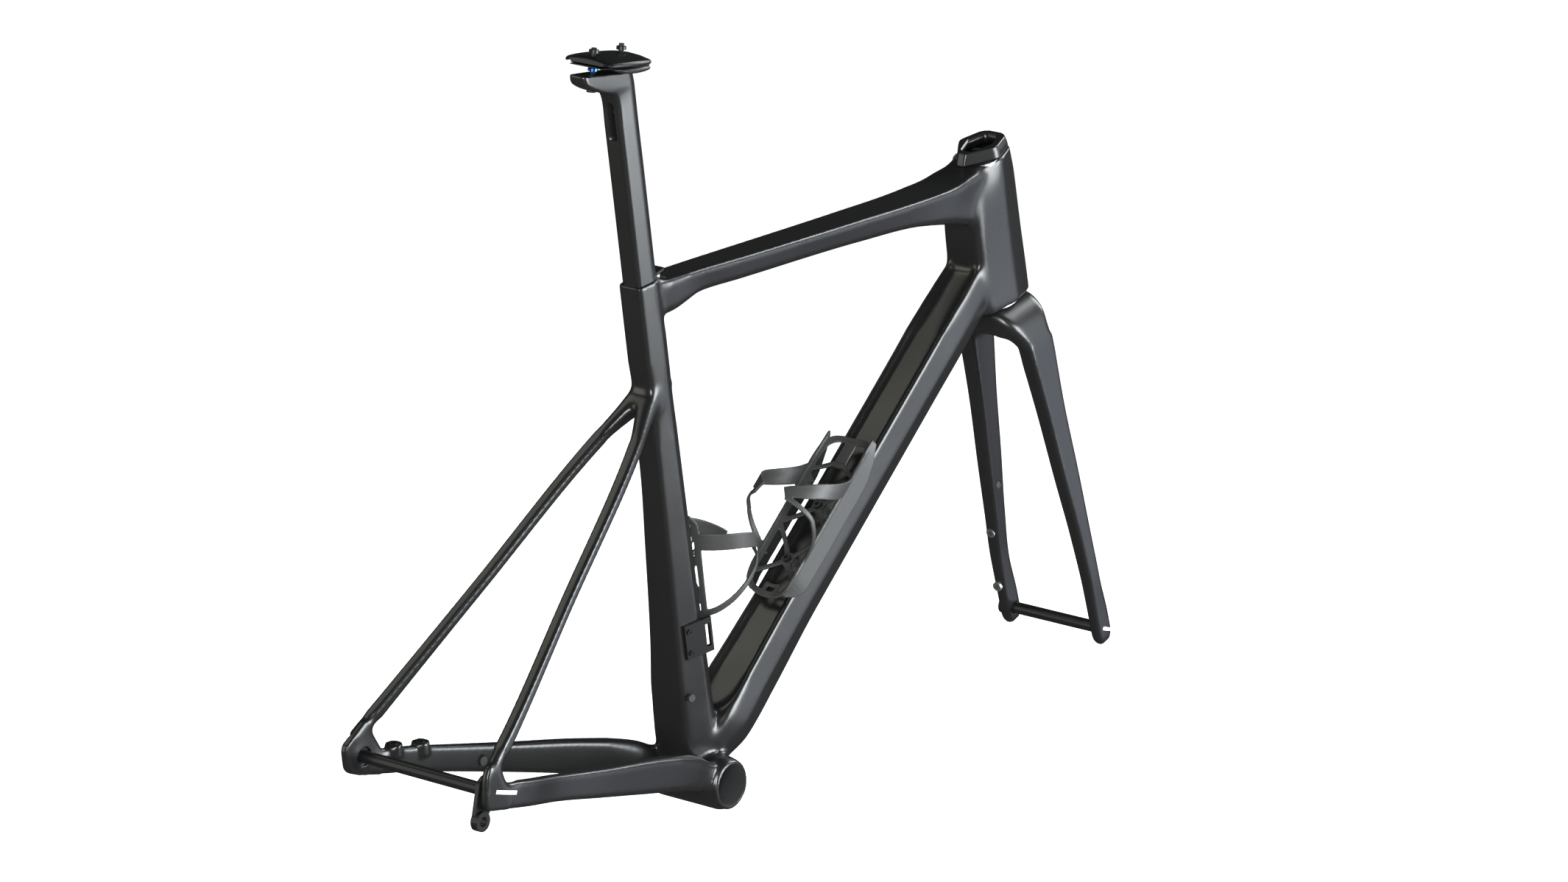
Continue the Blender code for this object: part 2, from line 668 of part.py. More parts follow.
def build_seat_clamp(carbon, black, steel, seat, top):
    """The wedge ahead of the post, its bolt and the cover over both."""
    axes = (SEAT_UP, SEAT_FORWARD, LEFT)
    pocket = hidden(block("wedge_pocket", on_seat(502.0, 21.5), axes, (40.0, 12.6, 15.6), carbon))
    cut(seat, pocket)
    cut(top, pocket)
    wedge = block("seat_clamp_wedge", on_seat(496.0, 21.5), axes, (20.0, 11.4, 15.0), steel)
    drill(wedge, "wedge_hole", on_seat(480.0, 22.0), SEAT_UP, 2.8, 40, steel, 16)
    bolt("seat_clamp_bolt", on_seat(509.6, 22.0), -SEAT_UP, 2.5, 26.0, 4.2, 3.2, steel)
    cover = [(8.6, 6.2, 2.0), (8.6, -6.2, 2.0), (-5.2, -7.4, 1.0), (-5.2, 7.4, 1.0)]
    rings = [station(on_seat(s, 20.9), SEAT_FORWARD, LEFT, cover) for s in (512.4, 514.4)]
    loft("seat_clamp_cover", rings, carbon)


# ---------------------------------------------------------------- headset
def cover_rings():
    """Bottom and top outlines of the headset cover, pointed at the rear."""
    rings = []
    table = [
        # t, reach ahead, reach behind, half width
        (HEAD_TOP + GAP, 36.0, 27.0, 25.0),
        (HEAD_TOP + COVER_HEIGHT, 34.0, 22.0, 22.0),
    ]
    for t, ahead, behind, half in table:
        corners = [
            (ahead, half * 0.6, 11.0),
            (ahead, -half * 0.6, 11.0),
            (4.0, -half, 12.0),
            (-behind, -5.0, 3.0),
            (-behind, 5.0, 3.0),
            (4.0, half, 12.0),
        ]
        rings.append(steer_station(t, corners))
    return rings


def build_headset(carbon, black, steel):
    """Two bearings, the rings that centre the steerer in them, and the cover."""
    def ring(name, outer, inner, low, high, look):
        profile = [(inner, low), (outer, low), (outer, high), (inner, high)]
        return turned(name, on_steer(0), STEER_UP, profile, look, 28)

    ring("lower_bearing", 26.0, 20.4, HEAD_BOTTOM + 1.9, HEAD_BOTTOM + 9.0, steel)
    ring("crown_race", 25.0, 20.4, HEAD_BOTTOM - 0.9, HEAD_BOTTOM + 1.5, steel)
    ring("upper_bearing", 23.5, 18.3, HEAD_TOP - 7.6, HEAD_TOP - 0.6, steel)
    ring("compression_ring", 18.0, 14.7, HEAD_TOP - 7.6, HEAD_TOP - 0.6, black)
    cover = loft("headset_cover", cover_rings(), carbon)
    opening = [(28, 8, 6), (28, -8, 6), (8, -14.5, 10), (-16, -7, 5), (-16, 7, 5), (8, 14.5, 10)]
    rings = [steer_station(t, opening) for t in (HEAD_TOP - 5, HEAD_TOP + COVER_HEIGHT + 5)]
    cut(cover, hidden(loft("cover_opening", rings, carbon)))


# ---------------------------------------------------------------- fork
CROWN_TOP = HEAD_BOTTOM - 1.3
LEG_REACH = 36.0                  # from the middle to a leg's centre line at its top
LEG_TOP = 328.0                   # along the steering axis, where the crown ends and the legs begin
FORK_MOUNT_AXIS = Vector((0.93, 0.0, 0.37)).normalized()
FORK_MOUNTS = (("upper", 533.4, 54.2, 152.0), ("lower", 556.8, 57.0, 92.6))    # rear face of the left leg
FORK_PORT = Vector((522.8, 41.7, 206.0))    # brake hose port in the inner face of the left leg


def crown_rings():
    """Sections of the crown, as an arch from the right leg over to the left one."""
    table = [
        # t, u, y, thickness, depth, tilt of the outer face from the steering axis
        (CROWN_TOP - 13.0, 5.0, 0.0, 26.0, 66.0, 0.0),
        (CROWN_TOP - 13.5, 5.5, 15.0, 26.0, 64.0, 8.0),
        (354.0, 7.0, 26.0, 25.0, 58.0, 40.0),
        (343.0, 10.0, 32.5, 20.0, 48.0, 70.0),
        (LEG_TOP, 15.0, LEG_REACH, 18.5, 39.5, 90.0),
    ]
    stations = [(-1, row) for row in table[:0:-1]] + [(1, row) for row in table]
    rings = []
    for side, (t, u, y, thick, deep, tilt) in stations:
        outward = STEER_UP * cos(radians(tilt)) + LEFT * (side * sin(radians(tilt)))
        corners = box_section(deep / 2, deep / 2, thick / 2, thick / 2, 6.0, 6.0)
        rings.append(station(on_steer(t, u, side * y), STEER_FORWARD, outward, corners))
    return rings


LEG_TABLE = [
    # x, z of the middle, inner y, outer y, depth
    (485.5, 295.0, 33.6, 50.6, 29.0),
    (508.5, 239.0, 38.8, 55.0, 26.0),
    (535.5, 173.0, 45.0, 60.0, 20.5),
    (556.0, 123.0, 49.0, 62.6, 19.0),
    (575.5, 82.0, 50.0, 62.0, 22.5),
    (583.5, 64.0, 50.0, 62.0, 23.0),
    (587.5, 55.5, 51.0, 61.0, 15.0),
]


def leg_rings(side):
    """Sections of one fork leg from the crown down to its rounded tip."""
    top = box_section(19.75, 19.75, 9.25, 9.25, 6.0, 6.0)
    rings = [mirrored(station(on_steer(LEG_TOP - GAP, 15.0, LEG_REACH), STEER_FORWARD, LEFT, top), side)]
    for index, (x, z, inner, outer, deep) in enumerate(LEG_TABLE):
        above = LEG_TABLE[max(index - 1, 0)]
        below = LEG_TABLE[min(index + 1, len(LEG_TABLE) - 1)]
        down = Vector((below[0] - above[0], 0.0, below[1] - above[1])).normalized()
        forward = Vector((-down.z, 0.0, down.x))
        half = (outer - inner) / 2
        corners = box_section(deep / 2, deep / 2, half, half, 3.5, 3.5)
        rings.append(mirrored(station((x, (inner + outer) / 2, z), forward, LEFT, corners), side))
    return rings


def build_fork(carbon, black, steel):
    """Steerer, crown, legs, their inserts and the front axle."""
    bottom = CROWN_TOP - 20.0
    crown = loft("fork_crown", crown_rings(), carbon)
    cut(crown, hidden(turned(
        "crown_bore", on_steer(0), STEER_UP, [(0, bottom), (20.3, bottom), (20.3, 400), (0, 400)], carbon, 28,
    )))
    steerer = [
        (0, bottom + GAP), (20.0, bottom + GAP), (20.0, 388.0), (STEERER_RADIUS, 420.0),
        (STEERER_RADIUS, 527.0), (12.0, 527.0), (12.0, 366.0), (0, 366.0),
    ]
    turned("fork_steerer", on_steer(0), STEER_UP, steerer, carbon, 28)

    half = FRONT_SPACING / 2
    for side, word, hole, depth in ((1, "left", AXLE_HOLE, 100), (-1, "right", 8.3, 60.4)):
        leg = loft(f"fork_leg_{word}", leg_rings(side), carbon)
        drill(leg, f"{word}_tip_hole", FRONT_AXLE, LEFT * side, hole, depth, black)
        if side > 0:
            left_leg = leg
            for level, x, y, z in FORK_MOUNTS:
                place = Vector((x, y, z))
                start = place - FORK_MOUNT_AXIS * 5
                drill(leg, f"mount_hole_{level}", start, FORK_MOUNT_AXIS, 5.3, 13.5, black, 16)
                ring = [(2.6, -0.8), (5.0, -0.8), (5.0, 8.0), (2.6, 8.0)]
                turned(f"fork_brake_insert_{level}", place, FORK_MOUNT_AXIS, ring, steel, 16)
    shank = AXLE_DIAMETER / 2
    insert = [(AXLE_HOLE, -60.1), (8.0, -60.1), (8.0, -50.3), (AXLE_HOLE, -50.3)]
    turned("front_axle_insert", FRONT_AXLE, LEFT, insert, steel)
    seat = half + 12.3
    axle = [
        (0, seat + 1.7), (3.0, seat + 1.7), (3.0, seat + 3.4), (8.5, seat + 3.4), (8.5, seat), (shank, seat),
        (shank, -59.9), (0, -59.9),
    ]
    turned("front_axle", FRONT_AXLE, LEFT, axle, black)
    return left_leg



# ---------------------------------------------------------------- cable ports and rear brake mount
SEAT_PORT = Vector((-40.5, -20.0, 85.7))
STAY_PORT = Vector((-256.0, 51.5, 44.8))
BRAKE_PADS = ((-363.5, 72.2, 72.0), (-329.5, 68.5, 69.3))      # top of the left chainstay


def build_ports(rubber, black, seat, leg):
    """The grommets that close the cable ports, and the two sleeves of the rear brake mount."""
    grommet("seat_tube_grommet", seat, SEAT_PORT, Vector((-0.3, -0.95, 0.0)).normalized(), 3.6, rubber)
    grommet("fork_hose_grommet", leg, FORK_PORT, Vector((0.0, -1.0, 0.1)).normalized(), 3.6, rubber)
    stay = bpy.data.objects["chainstay_left"]
    grommet("chainstay_grommet", stay, STAY_PORT, Vector((-0.12, -0.99, 0.0)).normalized(), 4.4, rubber)
    for word, (x, y, z) in zip(("rear", "front"), BRAKE_PADS):
        base = Vector((x, y, z))
        axis = Vector((-0.13, 0.0, 0.99)).normalized()
        drill(stay, f"brake_sleeve_hole_{word}", base - axis * 40, axis, 3.3, 80, black, 14)
        sleeve = [(2.1, -24.0), (3.0, -24.0), (3.0, 0.0), (5.2, 0.0), (5.2, 3.6), (2.1, 3.6)]
        turned(f"rear_brake_sleeve_{word}", base, axis, sleeve, black, 14)


# ---------------------------------------------------------------- front derailleur mount
def build_derailleur_mount(black, steel, seat, seat_cutter):
    """The slotted bracket on the right face of the seat tube and its two screws."""
    across = (SEAT_FORWARD * 0.966 - LEFT * 0.258).normalized()
    outward = (-LEFT * 0.966 - SEAT_FORWARD * 0.258).normalized()
    corner = on_seat(149.0, 5.9, -19.5)
    axes = (SEAT_UP, across, outward)
    middle = corner - across * 3.5 + outward * 1.6
    mount = block("front_derailleur_mount", middle, axes, (35.0, 31.0, 3.8), black)
    cut(mount, seat_cutter)
    slot = block("mount_slot", corner + across * 7.0, axes, (23.0, 5.2, 30.0), black)
    cut(mount, hidden(slot))
    for index, word in enumerate(("upper", "lower")):
        place = corner - across * 14.0 + SEAT_UP * (11.0 - 22.0 * index)
        drill(mount, f"mount_hole_{word}", place - outward * 6, outward, 1.8, 30, black, 12)
        drill(seat, f"mount_thread_{word}", place - outward * 4, outward, 1.8, 10, black, 12)
        bolt(f"derailleur_mount_screw_{word}", place + outward * 5.2, -outward, 1.4, 6.5, 2.8, 1.4, black)


# ---------------------------------------------------------------- bottle cages
BOTTLE_RADIUS = 37.2
CAGE_THICK = 2.4


class Cage:
    """The frame of reference of a bottle cage: h up the tube, phi round the bottle from the tube side."""

    def __init__(self, foot, along, out):
        self.foot = foot
        self.along = along
        self.out = out

    def point(self, phi, h, r):
        centre = self.out * (BOTTLE_RADIUS + CAGE_THICK)
        side = LEFT * (r * sin(phi))
        return self.foot + self.along * h + centre - self.out * (r * cos(phi)) + side

    def strip(self, name, path, look):
        """A bent strip through (phi in degrees, h, width) rows."""
        rings = []
        for index, (phi, h, width) in enumerate(path):
            ahead = path[min(index + 1, len(path) - 1)]
            behind = path[max(index - 1, 0)]
            run = radians(ahead[0] - behind[0]) * BOTTLE_RADIUS
            rise = ahead[1] - behind[1]
            length = hypot(run, rise)
            ring = []
            for r, end in ((0, -1), (0, 1), (CAGE_THICK, 1), (CAGE_THICK, -1)):
                shift = end * width / 2
                turn = radians(phi) - shift * rise / length / BOTTLE_RADIUS
                ring.append(self.point(turn, h + shift * run / length, BOTTLE_RADIUS + r))
            rings.append(ring)
        return loft(name, rings, look)


def build_cage(name, cage, length, reach, strap, tip, foot, windows, look):
    """A cage: a curved back plate with windows, and on each side a wide strap to the tip and a thin one back.

    reach is the half angle of the plate; strap, tip and foot are the (height, angle) where the wide strap
    leaves the plate, where it ends round the bottle, and where the thin one joins the plate again.
    """
    steps = 10
    path = [(-reach + 2 * reach * k / steps, length / 2, length) for k in range(steps + 1)]
    body = cage.strip(name, path, look)
    for side, word in ((1, "left"), (-1, "right")):
        wide = []
        thin = []
        for k in range(steps):
            part = k / (steps - 1)
            angle = strap[1] + (tip[1] - strap[1]) * part
            wide.append((side * angle, strap[0] + (tip[0] - strap[0]) * part ** 0.9, 17.0 - 5.0 * part))
            angle = tip[1] - 8.0 - (tip[1] - 8.0 - foot[1]) * part
            drop = sin(part * pi / 2) if foot[1] < 20 else part ** 1.8
            thin.append((side * angle, tip[0] - 4.0 - (tip[0] - 4.0 - foot[0]) * drop, 6.0))
        join(body, cage.strip(f"{name}_strap_{word}", wide, look))
        join(body, cage.strip(f"{name}_strip_{word}", thin, look))
    axes = (cage.along, cage.out, LEFT)
    for index, (h, tall, wide) in enumerate(windows):
        middle = cage.foot + cage.along * h
        cut(body, hidden(block(f"{name}_window{index}", middle, axes, (tall, 30.0, wide), look)))
    return body


DOWN_CAGE = (160.0, 30.5)         # foot of the cage: distance along the tube, height above its middle
SEAT_CAGE = (155.0, 24.0)
CHANNEL_FLOOR = 20.3              # top of the down tube's channel floor above the tube's middle


SKIRT = ((164.0, 32.0, 1.5), (176.0, 21.0, 0.5), (300.0, 20.0, 0.0), (346.0, 38.0, 1.5))


def skirt_ring(side, s, low, inset):
    """One section of the wall that hangs from the cage's rim beside the down tube, down to height low."""
    wall = ((25.4 - inset, 44.6), (27.9 - inset, 45.0), (30.2 - inset, low), (27.8 - inset, low))
    return mirrored([on_down(s, n, y) for y, n in wall], side)


def build_cages(composite, black, steel, seat, down):
    """Both bottle cages with their bolts and the threaded bosses in the tubes."""
    down_cage = Cage(on_down(*DOWN_CAGE), DOWN_ALONG, DOWN_UP)
    windows = ((18.0, 22.0, 24.0), (75.6, 44.0, 34.0), (136.0, 34.0, 34.0), (170.0, 18.0, 30.0))
    body = build_cage(
        "down_tube_cage", down_cage, 187.0, 44.0, (128.0, 38.0), (74.0, 160.0), (46.0, 42.0), windows,
        composite,
    )
    for side, word in ((1, "left"), (-1, "right")):
        rings = [skirt_ring(side, *row) for row in SKIRT]
        join(body, loft(f"down_tube_cage_skirt_{word}", rings, composite))
    drop = on_down(0.0, CHANNEL_FLOOR) - on_down(0.0, DOWN_CAGE[1])
    add_bosses("down_tube", body, down, down_cage, (43.9, 107.4), drop, steel, black)

    seat_cage = Cage(on_seat(*SEAT_CAGE), SEAT_UP, SEAT_FORWARD)
    body = build_cage(
        "seat_tube_cage", seat_cage, 107.0, 18.0, (82.0, 10.0), (51.0, 158.0), (6.0, 8.0),
        ((47.0, 34.0, 10.0),), composite,
    )
    add_bosses("seat_tube", body, seat, seat_cage, (20.0, 84.0), SEAT_FORWARD * -1.8, steel, black)


def add_bosses(tube_name, body, wall, cage, heights, drop, steel, black):
    """Two threaded bosses in a tube wall and the bolts that hold the cage on them."""
    sink = drop.length
    for word, h in zip(("lower", "upper"), heights):
        base = cage.foot + cage.along * h
        drill(body, f"{tube_name}_{word}_cage_hole", base - cage.out * 5, cage.out, 2.8, 30, black, 16)
        start = base - cage.out * (sink + 6.5)
        drill(wall, f"{tube_name}_{word}_wall_hole", start, cage.out, 5.3, 8.0, black, 16)
        boss = [(2.8, -sink - 6.0), (5.0, -sink - 6.0), (5.0, -sink), (7.0, -sink), (7.0, -0.1), (2.8, -0.1)]
        turned(f"{tube_name}_cage_boss_{word}", base, cage.out, boss, steel, 16)
        bolt(f"{tube_name}_cage_bolt_{word}", base + cage.out * 5.6, -cage.out, 2.4, 16.0, 4.3, 2.7, black)


def pivot(name, place, pieces):
    """An empty on a joint's axis that carries the pieces moving about or along it."""
    empty = bpy.data.objects.new(name, None)
    empty.location = place * MM
    bpy.context.collection.objects.link(empty)
    for piece in pieces:
        moved = bpy.data.objects[piece]
        moved.parent = empty
        moved.data.transform(Matrix.Translation(-empty.location))


def place_pivots():
    """Puts every moving piece on the axis of its joint; the clamp turns on the post, the axle on the fork."""
    pivot("rear_axle_line", REAR_AXLE, ["rear_axle"])
    pivot("front_axle_line", FRONT_AXLE, ["front_axle"])
    fork = ["fork_steerer", "fork_crown", "fork_leg_left", "fork_leg_right", "crown_race", "compression_ring"]
    fork += ["front_axle_insert", "fork_brake_insert_upper", "fork_brake_insert_lower", "fork_hose_grommet"]
    pivot("steering_axis", STEER_FOOT, fork)
    post = ["seatpost", "saddle_clamp_bolt_front", "saddle_clamp_bolt_rear", "saddle_clamp_nut_front"]
    pivot("seat_axis", Vector(), post + ["saddle_clamp_nut_rear", "saddle_clamp_washer", "seat_clamp_wedge"])
    pivot("saddle_tilt_axis", CLAMP_PIVOT, ["saddle_clamp_lower", "saddle_clamp_upper"])


def main():
    for stale in list(bpy.data.objects):
        bpy.data.objects.remove(stale, do_unlink=True)
    carbon = material("satin_carbon", (0.02, 0.02, 0.021), 0.38)
    composite = material("cage_composite", (0.045, 0.045, 0.045), 0.5)
    black = material("black_anodised", (0.015, 0.015, 0.016), 0.35, 0.6)
    steel = material("steel", (0.45, 0.45, 0.46), 0.3, 1.0)
    blue = material("blue_anodised", (0.02, 0.12, 0.5), 0.3, 1.0)
    rubber = material("rubber_black", (0.02, 0.02, 0.02), 0.7)
    seat, top, down, shell_cutter, seat_cutter = build_frame(carbon)
    build_rear(carbon, black, steel, shell_cutter, seat_cutter)
    build_post(carbon, black, steel, blue)
    build_seat_clamp(carbon, black, steel, seat, top)
    build_headset(carbon, black, steel)
    leg = build_fork(carbon, black, steel)
    build_ports(rubber, black, seat, leg)
    build_derailleur_mount(black, steel, seat, seat_cutter)
    build_cages(composite, black, steel, seat, down)
    place_pivots()


main()
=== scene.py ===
"""Looks of the bicycle frame set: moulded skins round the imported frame, materials, light and camera."""

import json
from math import atan2, cos, hypot, pi, radians, sin, tan

import bmesh
import bpy
import numpy as np
from mathutils import Matrix, Vector


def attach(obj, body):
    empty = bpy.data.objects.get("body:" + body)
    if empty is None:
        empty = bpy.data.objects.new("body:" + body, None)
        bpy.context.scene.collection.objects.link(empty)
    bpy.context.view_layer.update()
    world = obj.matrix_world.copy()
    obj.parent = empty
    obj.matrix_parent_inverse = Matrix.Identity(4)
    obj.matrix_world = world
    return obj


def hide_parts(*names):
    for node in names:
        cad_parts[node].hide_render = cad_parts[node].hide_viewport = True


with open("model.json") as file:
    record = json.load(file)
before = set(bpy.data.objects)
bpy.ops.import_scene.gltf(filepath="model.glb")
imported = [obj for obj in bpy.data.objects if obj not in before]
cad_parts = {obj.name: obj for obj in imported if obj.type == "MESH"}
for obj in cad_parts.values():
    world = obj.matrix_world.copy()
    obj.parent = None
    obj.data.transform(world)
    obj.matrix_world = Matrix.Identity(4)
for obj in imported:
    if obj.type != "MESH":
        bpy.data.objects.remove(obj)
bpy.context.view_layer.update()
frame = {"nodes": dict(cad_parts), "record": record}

MM = 0.001
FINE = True

# ---------------------------------------------------------------- driving dimensions, as in the CAD (mm)
SEAT_ANGLE = radians(74.15)
HEAD_ANGLE = radians(72.4)
REAR_AXLE = Vector((-405.0, 0.0, 69.0))
REAR_SPACING = 142.0
FRONT_AXLE = Vector((582.0, 0.0, 69.0))
FORK_RAKE = 45.0
SHELL_WIDTH = 86.5
SHELL_BORE = 41.0
SEAT_UP = Vector((-cos(SEAT_ANGLE), 0.0, sin(SEAT_ANGLE)))
SEAT_FORWARD = Vector((sin(SEAT_ANGLE), 0.0, cos(SEAT_ANGLE)))
STEER_UP = Vector((-cos(HEAD_ANGLE), 0.0, sin(HEAD_ANGLE)))
STEER_FORWARD = Vector((sin(HEAD_ANGLE), 0.0, cos(HEAD_ANGLE)))
STEER_FOOT = FRONT_AXLE - FORK_RAKE * STEER_FORWARD
LEFT = Vector((0.0, 1.0, 0.0))
UP = Vector((0.0, 0.0, 1.0))
AHEAD = Vector((1.0, 0.0, 0.0))
STEER_AXES = (STEER_UP, STEER_FORWARD, LEFT)
HEAD_BOTTOM = 376.0
HEAD_TOP = 530.0
COLLAR = 512.0
DOWN_FOOT = Vector((5.0, 0.0, 22.0))
DOWN_TOP = Vector((408.0, 0.0, 458.0))
DOWN_ALONG = (DOWN_TOP - DOWN_FOOT).normalized()
DOWN_UP = Vector((-DOWN_ALONG.z, 0.0, DOWN_ALONG.x))


# ---------------------------------------------------------------- outlines, stations and solids
def rounded(corners, steps=7):
    """A closed outline through rounded corners (u, v, radius), as a list of (u, v)."""
    outline = []
    count = len(corners)
    for index, (u, v, radius) in enumerate(corners):
        here = Vector((u, v))
        before = (Vector(corners[index - 1][:2]) - here).normalized()
        after = (Vector(corners[(index + 1) % count][:2]) - here).normalized()
        half = before.angle(after) / 2
        centre = here + (before + after).normalized() * (radius / sin(half))
        first = here + before * (radius / tan(half)) - centre
        last = here + after * (radius / tan(half)) - centre
        start = atan2(first.y, first.x)
        sweep = (atan2(last.y, last.x) - start + pi) % (2 * pi) - pi
        for step in range(steps + 1):
            angle = start + sweep * step / steps
            outline.append((centre.x + radius * cos(angle), centre.y + radius * sin(angle)))
    return outline


def smooth_rows(table, count):
    """Rows spread along a smooth curve through the table, without overshoot (monotone cubic)."""
    rows = np.array(table, float)
    gaps = np.maximum(np.linalg.norm(np.diff(rows[:, :3], axis=0), axis=1), 0.5)
    along = np.concatenate(([0.0], np.cumsum(gaps)))
    slopes = np.diff(rows, axis=0) / gaps[:, None]
    tangents = np.zeros_like(rows)
    tangents[0], tangents[-1] = slopes[0], slopes[-1]
    for k in range(1, len(rows) - 1):
        same = slopes[k - 1] * slopes[k] > 0
        weight_a = 2 * gaps[k] + gaps[k - 1]
        weight_b = gaps[k] + 2 * gaps[k - 1]
        with np.errstate(divide="ignore", invalid="ignore"):
            mean = (weight_a + weight_b) / (weight_a / slopes[k - 1] + weight_b / slopes[k])
        tangents[k] = np.where(same, mean, 0.0)
    out = []
    for place in np.linspace(0.0, along[-1], count):
        k = min(int(np.searchsorted(along, place, side="right")) - 1, len(gaps) - 1)
        t = (place - along[k]) / gaps[k]
        h00, h10 = (1 + 2 * t) * (1 - t) ** 2, t * (1 - t) ** 2
        h01, h11 = t * t * (3 - 2 * t), t * t * (t - 1)
        row = h00 * rows[k] + h10 * gaps[k] * tangents[k]
        row = row + h01 * rows[k + 1] + h11 * gaps[k] * tangents[k + 1]
        out.append([float(value) for value in row])
    return out


def run_at(rows, index):
    """The way a curve of (x, y, z, ...) rows runs at one of its rows."""
    return Vector(rows[min(index + 1, len(rows) - 1)][:3]) - Vector(rows[max(index - 1, 0)][:3])


def station(centre, forward, side, corners, steps=7):
    """One cross-section in space: u runs along forward and v along side."""
    return [Vector(centre) + forward * u + side * v for u, v in rounded(corners, steps)]


def circle(centre, forward, side, radius, count):
    turn = 2 * pi / count
    return [
        Vector(centre) + (forward * cos(k * turn) + side * sin(k * turn)) * radius for k in range(count)
    ]


def make_object(name, points, faces, smooth=35):
    """A named mesh object from points in millimetres, with its faces turned outward."""
    mesh = bpy.data.meshes.new(name)
    mesh.from_pydata([tuple(point * MM) for point in points], [], faces)
    work = bmesh.new()
    work.from_mesh(mesh)
    bmesh.ops.recalc_face_normals(work, faces=work.faces)
    work.to_mesh(mesh)
    work.free()
    mesh.shade_smooth()
    mesh.set_sharp_from_angle(angle=radians(smooth))
    made = bpy.data.objects.new(name, mesh)
    bpy.context.collection.objects.link(made)
    return made


def band(first, second, count):
    return [
        (first + k, first + (k + 1) % count, second + (k + 1) % count, second + k) for k in range(count)
    ]


def loft(name, rings):
    """A solid through the rings, closed by a face at each end."""
    count = len(rings[0])
    faces = [tuple(range(count)), tuple(range((len(rings) - 1) * count, len(rings) * count))]
    for index in range(len(rings) - 1):
        faces += band(index * count, (index + 1) * count, count)
    return make_object(name, [point for ring in rings for point in ring], faces)


def turned(name, base, axis, profile, count=48):
    """A solid of revolution about the axis through base: profile is a list of (radius, height)."""
    axis = axis.normalized()
    forward = axis.orthogonal().normalized()
    side = axis.cross(forward)
    solid = profile[0][0] == 0 and profile[-1][0] == 0
    heights = profile[1:-1] if solid else profile
    rings = [circle(base + axis * height, forward, side, radius, count) for radius, height in heights]
    points = [point for ring in rings for point in ring]
    faces = []
    for index in range(len(rings) - 1):
        faces += band(index * count, (index + 1) * count, count)
    if solid:
        faces += [tuple(range(count)), tuple(range((len(rings) - 1) * count, len(rings) * count))]
    else:
        faces += band((len(rings) - 1) * count, 0, count)
    return make_object(name, points, faces)


def block(name, centre, axes, sizes):
    """A box about centre whose edges run along the three axes."""
    halves = [Vector(axis).normalized() * size / 2 for axis, size in zip(axes, sizes)]
    rings = []
    for end in (-1, 1):
        middle = Vector(centre) + halves[0] * end
        corners = ((-1, -1), (1, -1), (1, 1), (-1, 1))
        rings.append([middle + halves[1] * a + halves[2] * b for a, b in corners])
    return loft(name, rings)


def plate(name, outline, inner, outer):
    """A flat plate with an (x, z) outline between two y values."""
    return loft(name, [[Vector((x, y, z)) for x, z in outline] for y in (inner, outer)])


def bake(target):
    """Applies the modifiers of an object to its mesh."""
    graph = bpy.context.evaluated_depsgraph_get()
    mesh = bpy.data.meshes.new_from_object(target.evaluated_get(graph))
    target.modifiers.clear()
    old = target.data
    target.data = mesh
    bpy.data.meshes.remove(old)
    return target


def discard(piece):
    bpy.data.objects.remove(piece, do_unlink=True)


def cut(target, cutters, operation="DIFFERENCE", solver="MANIFOLD"):
    """Cuts or unites each helper and removes it."""
    for cutter in cutters:
        modifier = target.modifiers.new("Cut", "BOOLEAN")
        modifier.operation = operation
        modifier.solver = solver
        modifier.object = cutter
        bake(target)
        discard(cutter)
    return target


def gather(name, solids):
    """One object that holds the meshes of several overlapping solids."""
    work = bmesh.new()
    for solid in solids:
        work.from_mesh(solid.data)
        discard(solid)
    mesh = bpy.data.meshes.new(name)
    work.to_mesh(mesh)
    work.free()
    made = bpy.data.objects.new(name, mesh)
    bpy.context.collection.objects.link(made)
    return made


def mould(name, solids, voxel, rounds, spots=(), strong=0):
    """Melts overlapping solids into one skin, evened out by so many rounds of smoothing.

    Spots are (place, radius) of joints that get wide fillets by a number of strong rounds.
    """
    skin = gather(name, solids)
    remesh = skin.modifiers.new("Melt", "REMESH")
    remesh.mode = "VOXEL"
    remesh.voxel_size = voxel * MM
    bake(skin)
    if spots:
        group = skin.vertex_groups.new(name="fillet")
        places = np.empty(len(skin.data.vertices) * 3)
        skin.data.vertices.foreach_get("co", places)
        places = places.reshape(-1, 3) / MM
        weight = np.zeros(len(places))
        for centre, radius in spots:
            distance = np.linalg.norm(places - np.array(centre), axis=1)
            weight = np.maximum(weight, np.clip(2.0 - 2.0 * distance / radius, 0.0, 1.0))
        for level in range(1, 11):
            chosen = np.nonzero((weight > (level - 1) / 10) & (weight <= level / 10))[0]
            group.add([int(index) for index in chosen], level / 10, "REPLACE")
        wide = skin.modifiers.new("Fillet", "SMOOTH")
        wide.vertex_group = "fillet"
        wide.factor = 0.5
        wide.iterations = strong
    even = skin.modifiers.new("Even", "SMOOTH")
    even.factor = 0.5
    even.iterations = rounds
    bake(skin)
    skin.data.shade_smooth()
    return skin


# ---------------------------------------------------------------- places on the frame
def on_seat(s, u=0.0, v=0.0):
    return SEAT_UP * s + SEAT_FORWARD * u + LEFT * v


def on_steer(t, u=0.0, v=0.0):
    return STEER_FOOT + STEER_UP * t + STEER_FORWARD * u + LEFT * v


def on_down(s, n=0.0, v=0.0):
    return DOWN_FOOT + DOWN_ALONG * s + DOWN_UP * n + LEFT * v


def mirrored(ring, side):
    return [Vector((point.x, point.y * side, point.z)) for point in ring]


def leaning_station(centre, along, corners, side=1):
    """A section square to a tube that runs along a slanting line: u is up and v outward."""
    along = Vector(along).normalized()
    across = (LEFT - along * LEFT.dot(along)).normalized()
    upward = along.cross(across).normalized()
    if upward.z < 0:
        upward = -upward
    return mirrored(station(centre, upward, across, corners), side)


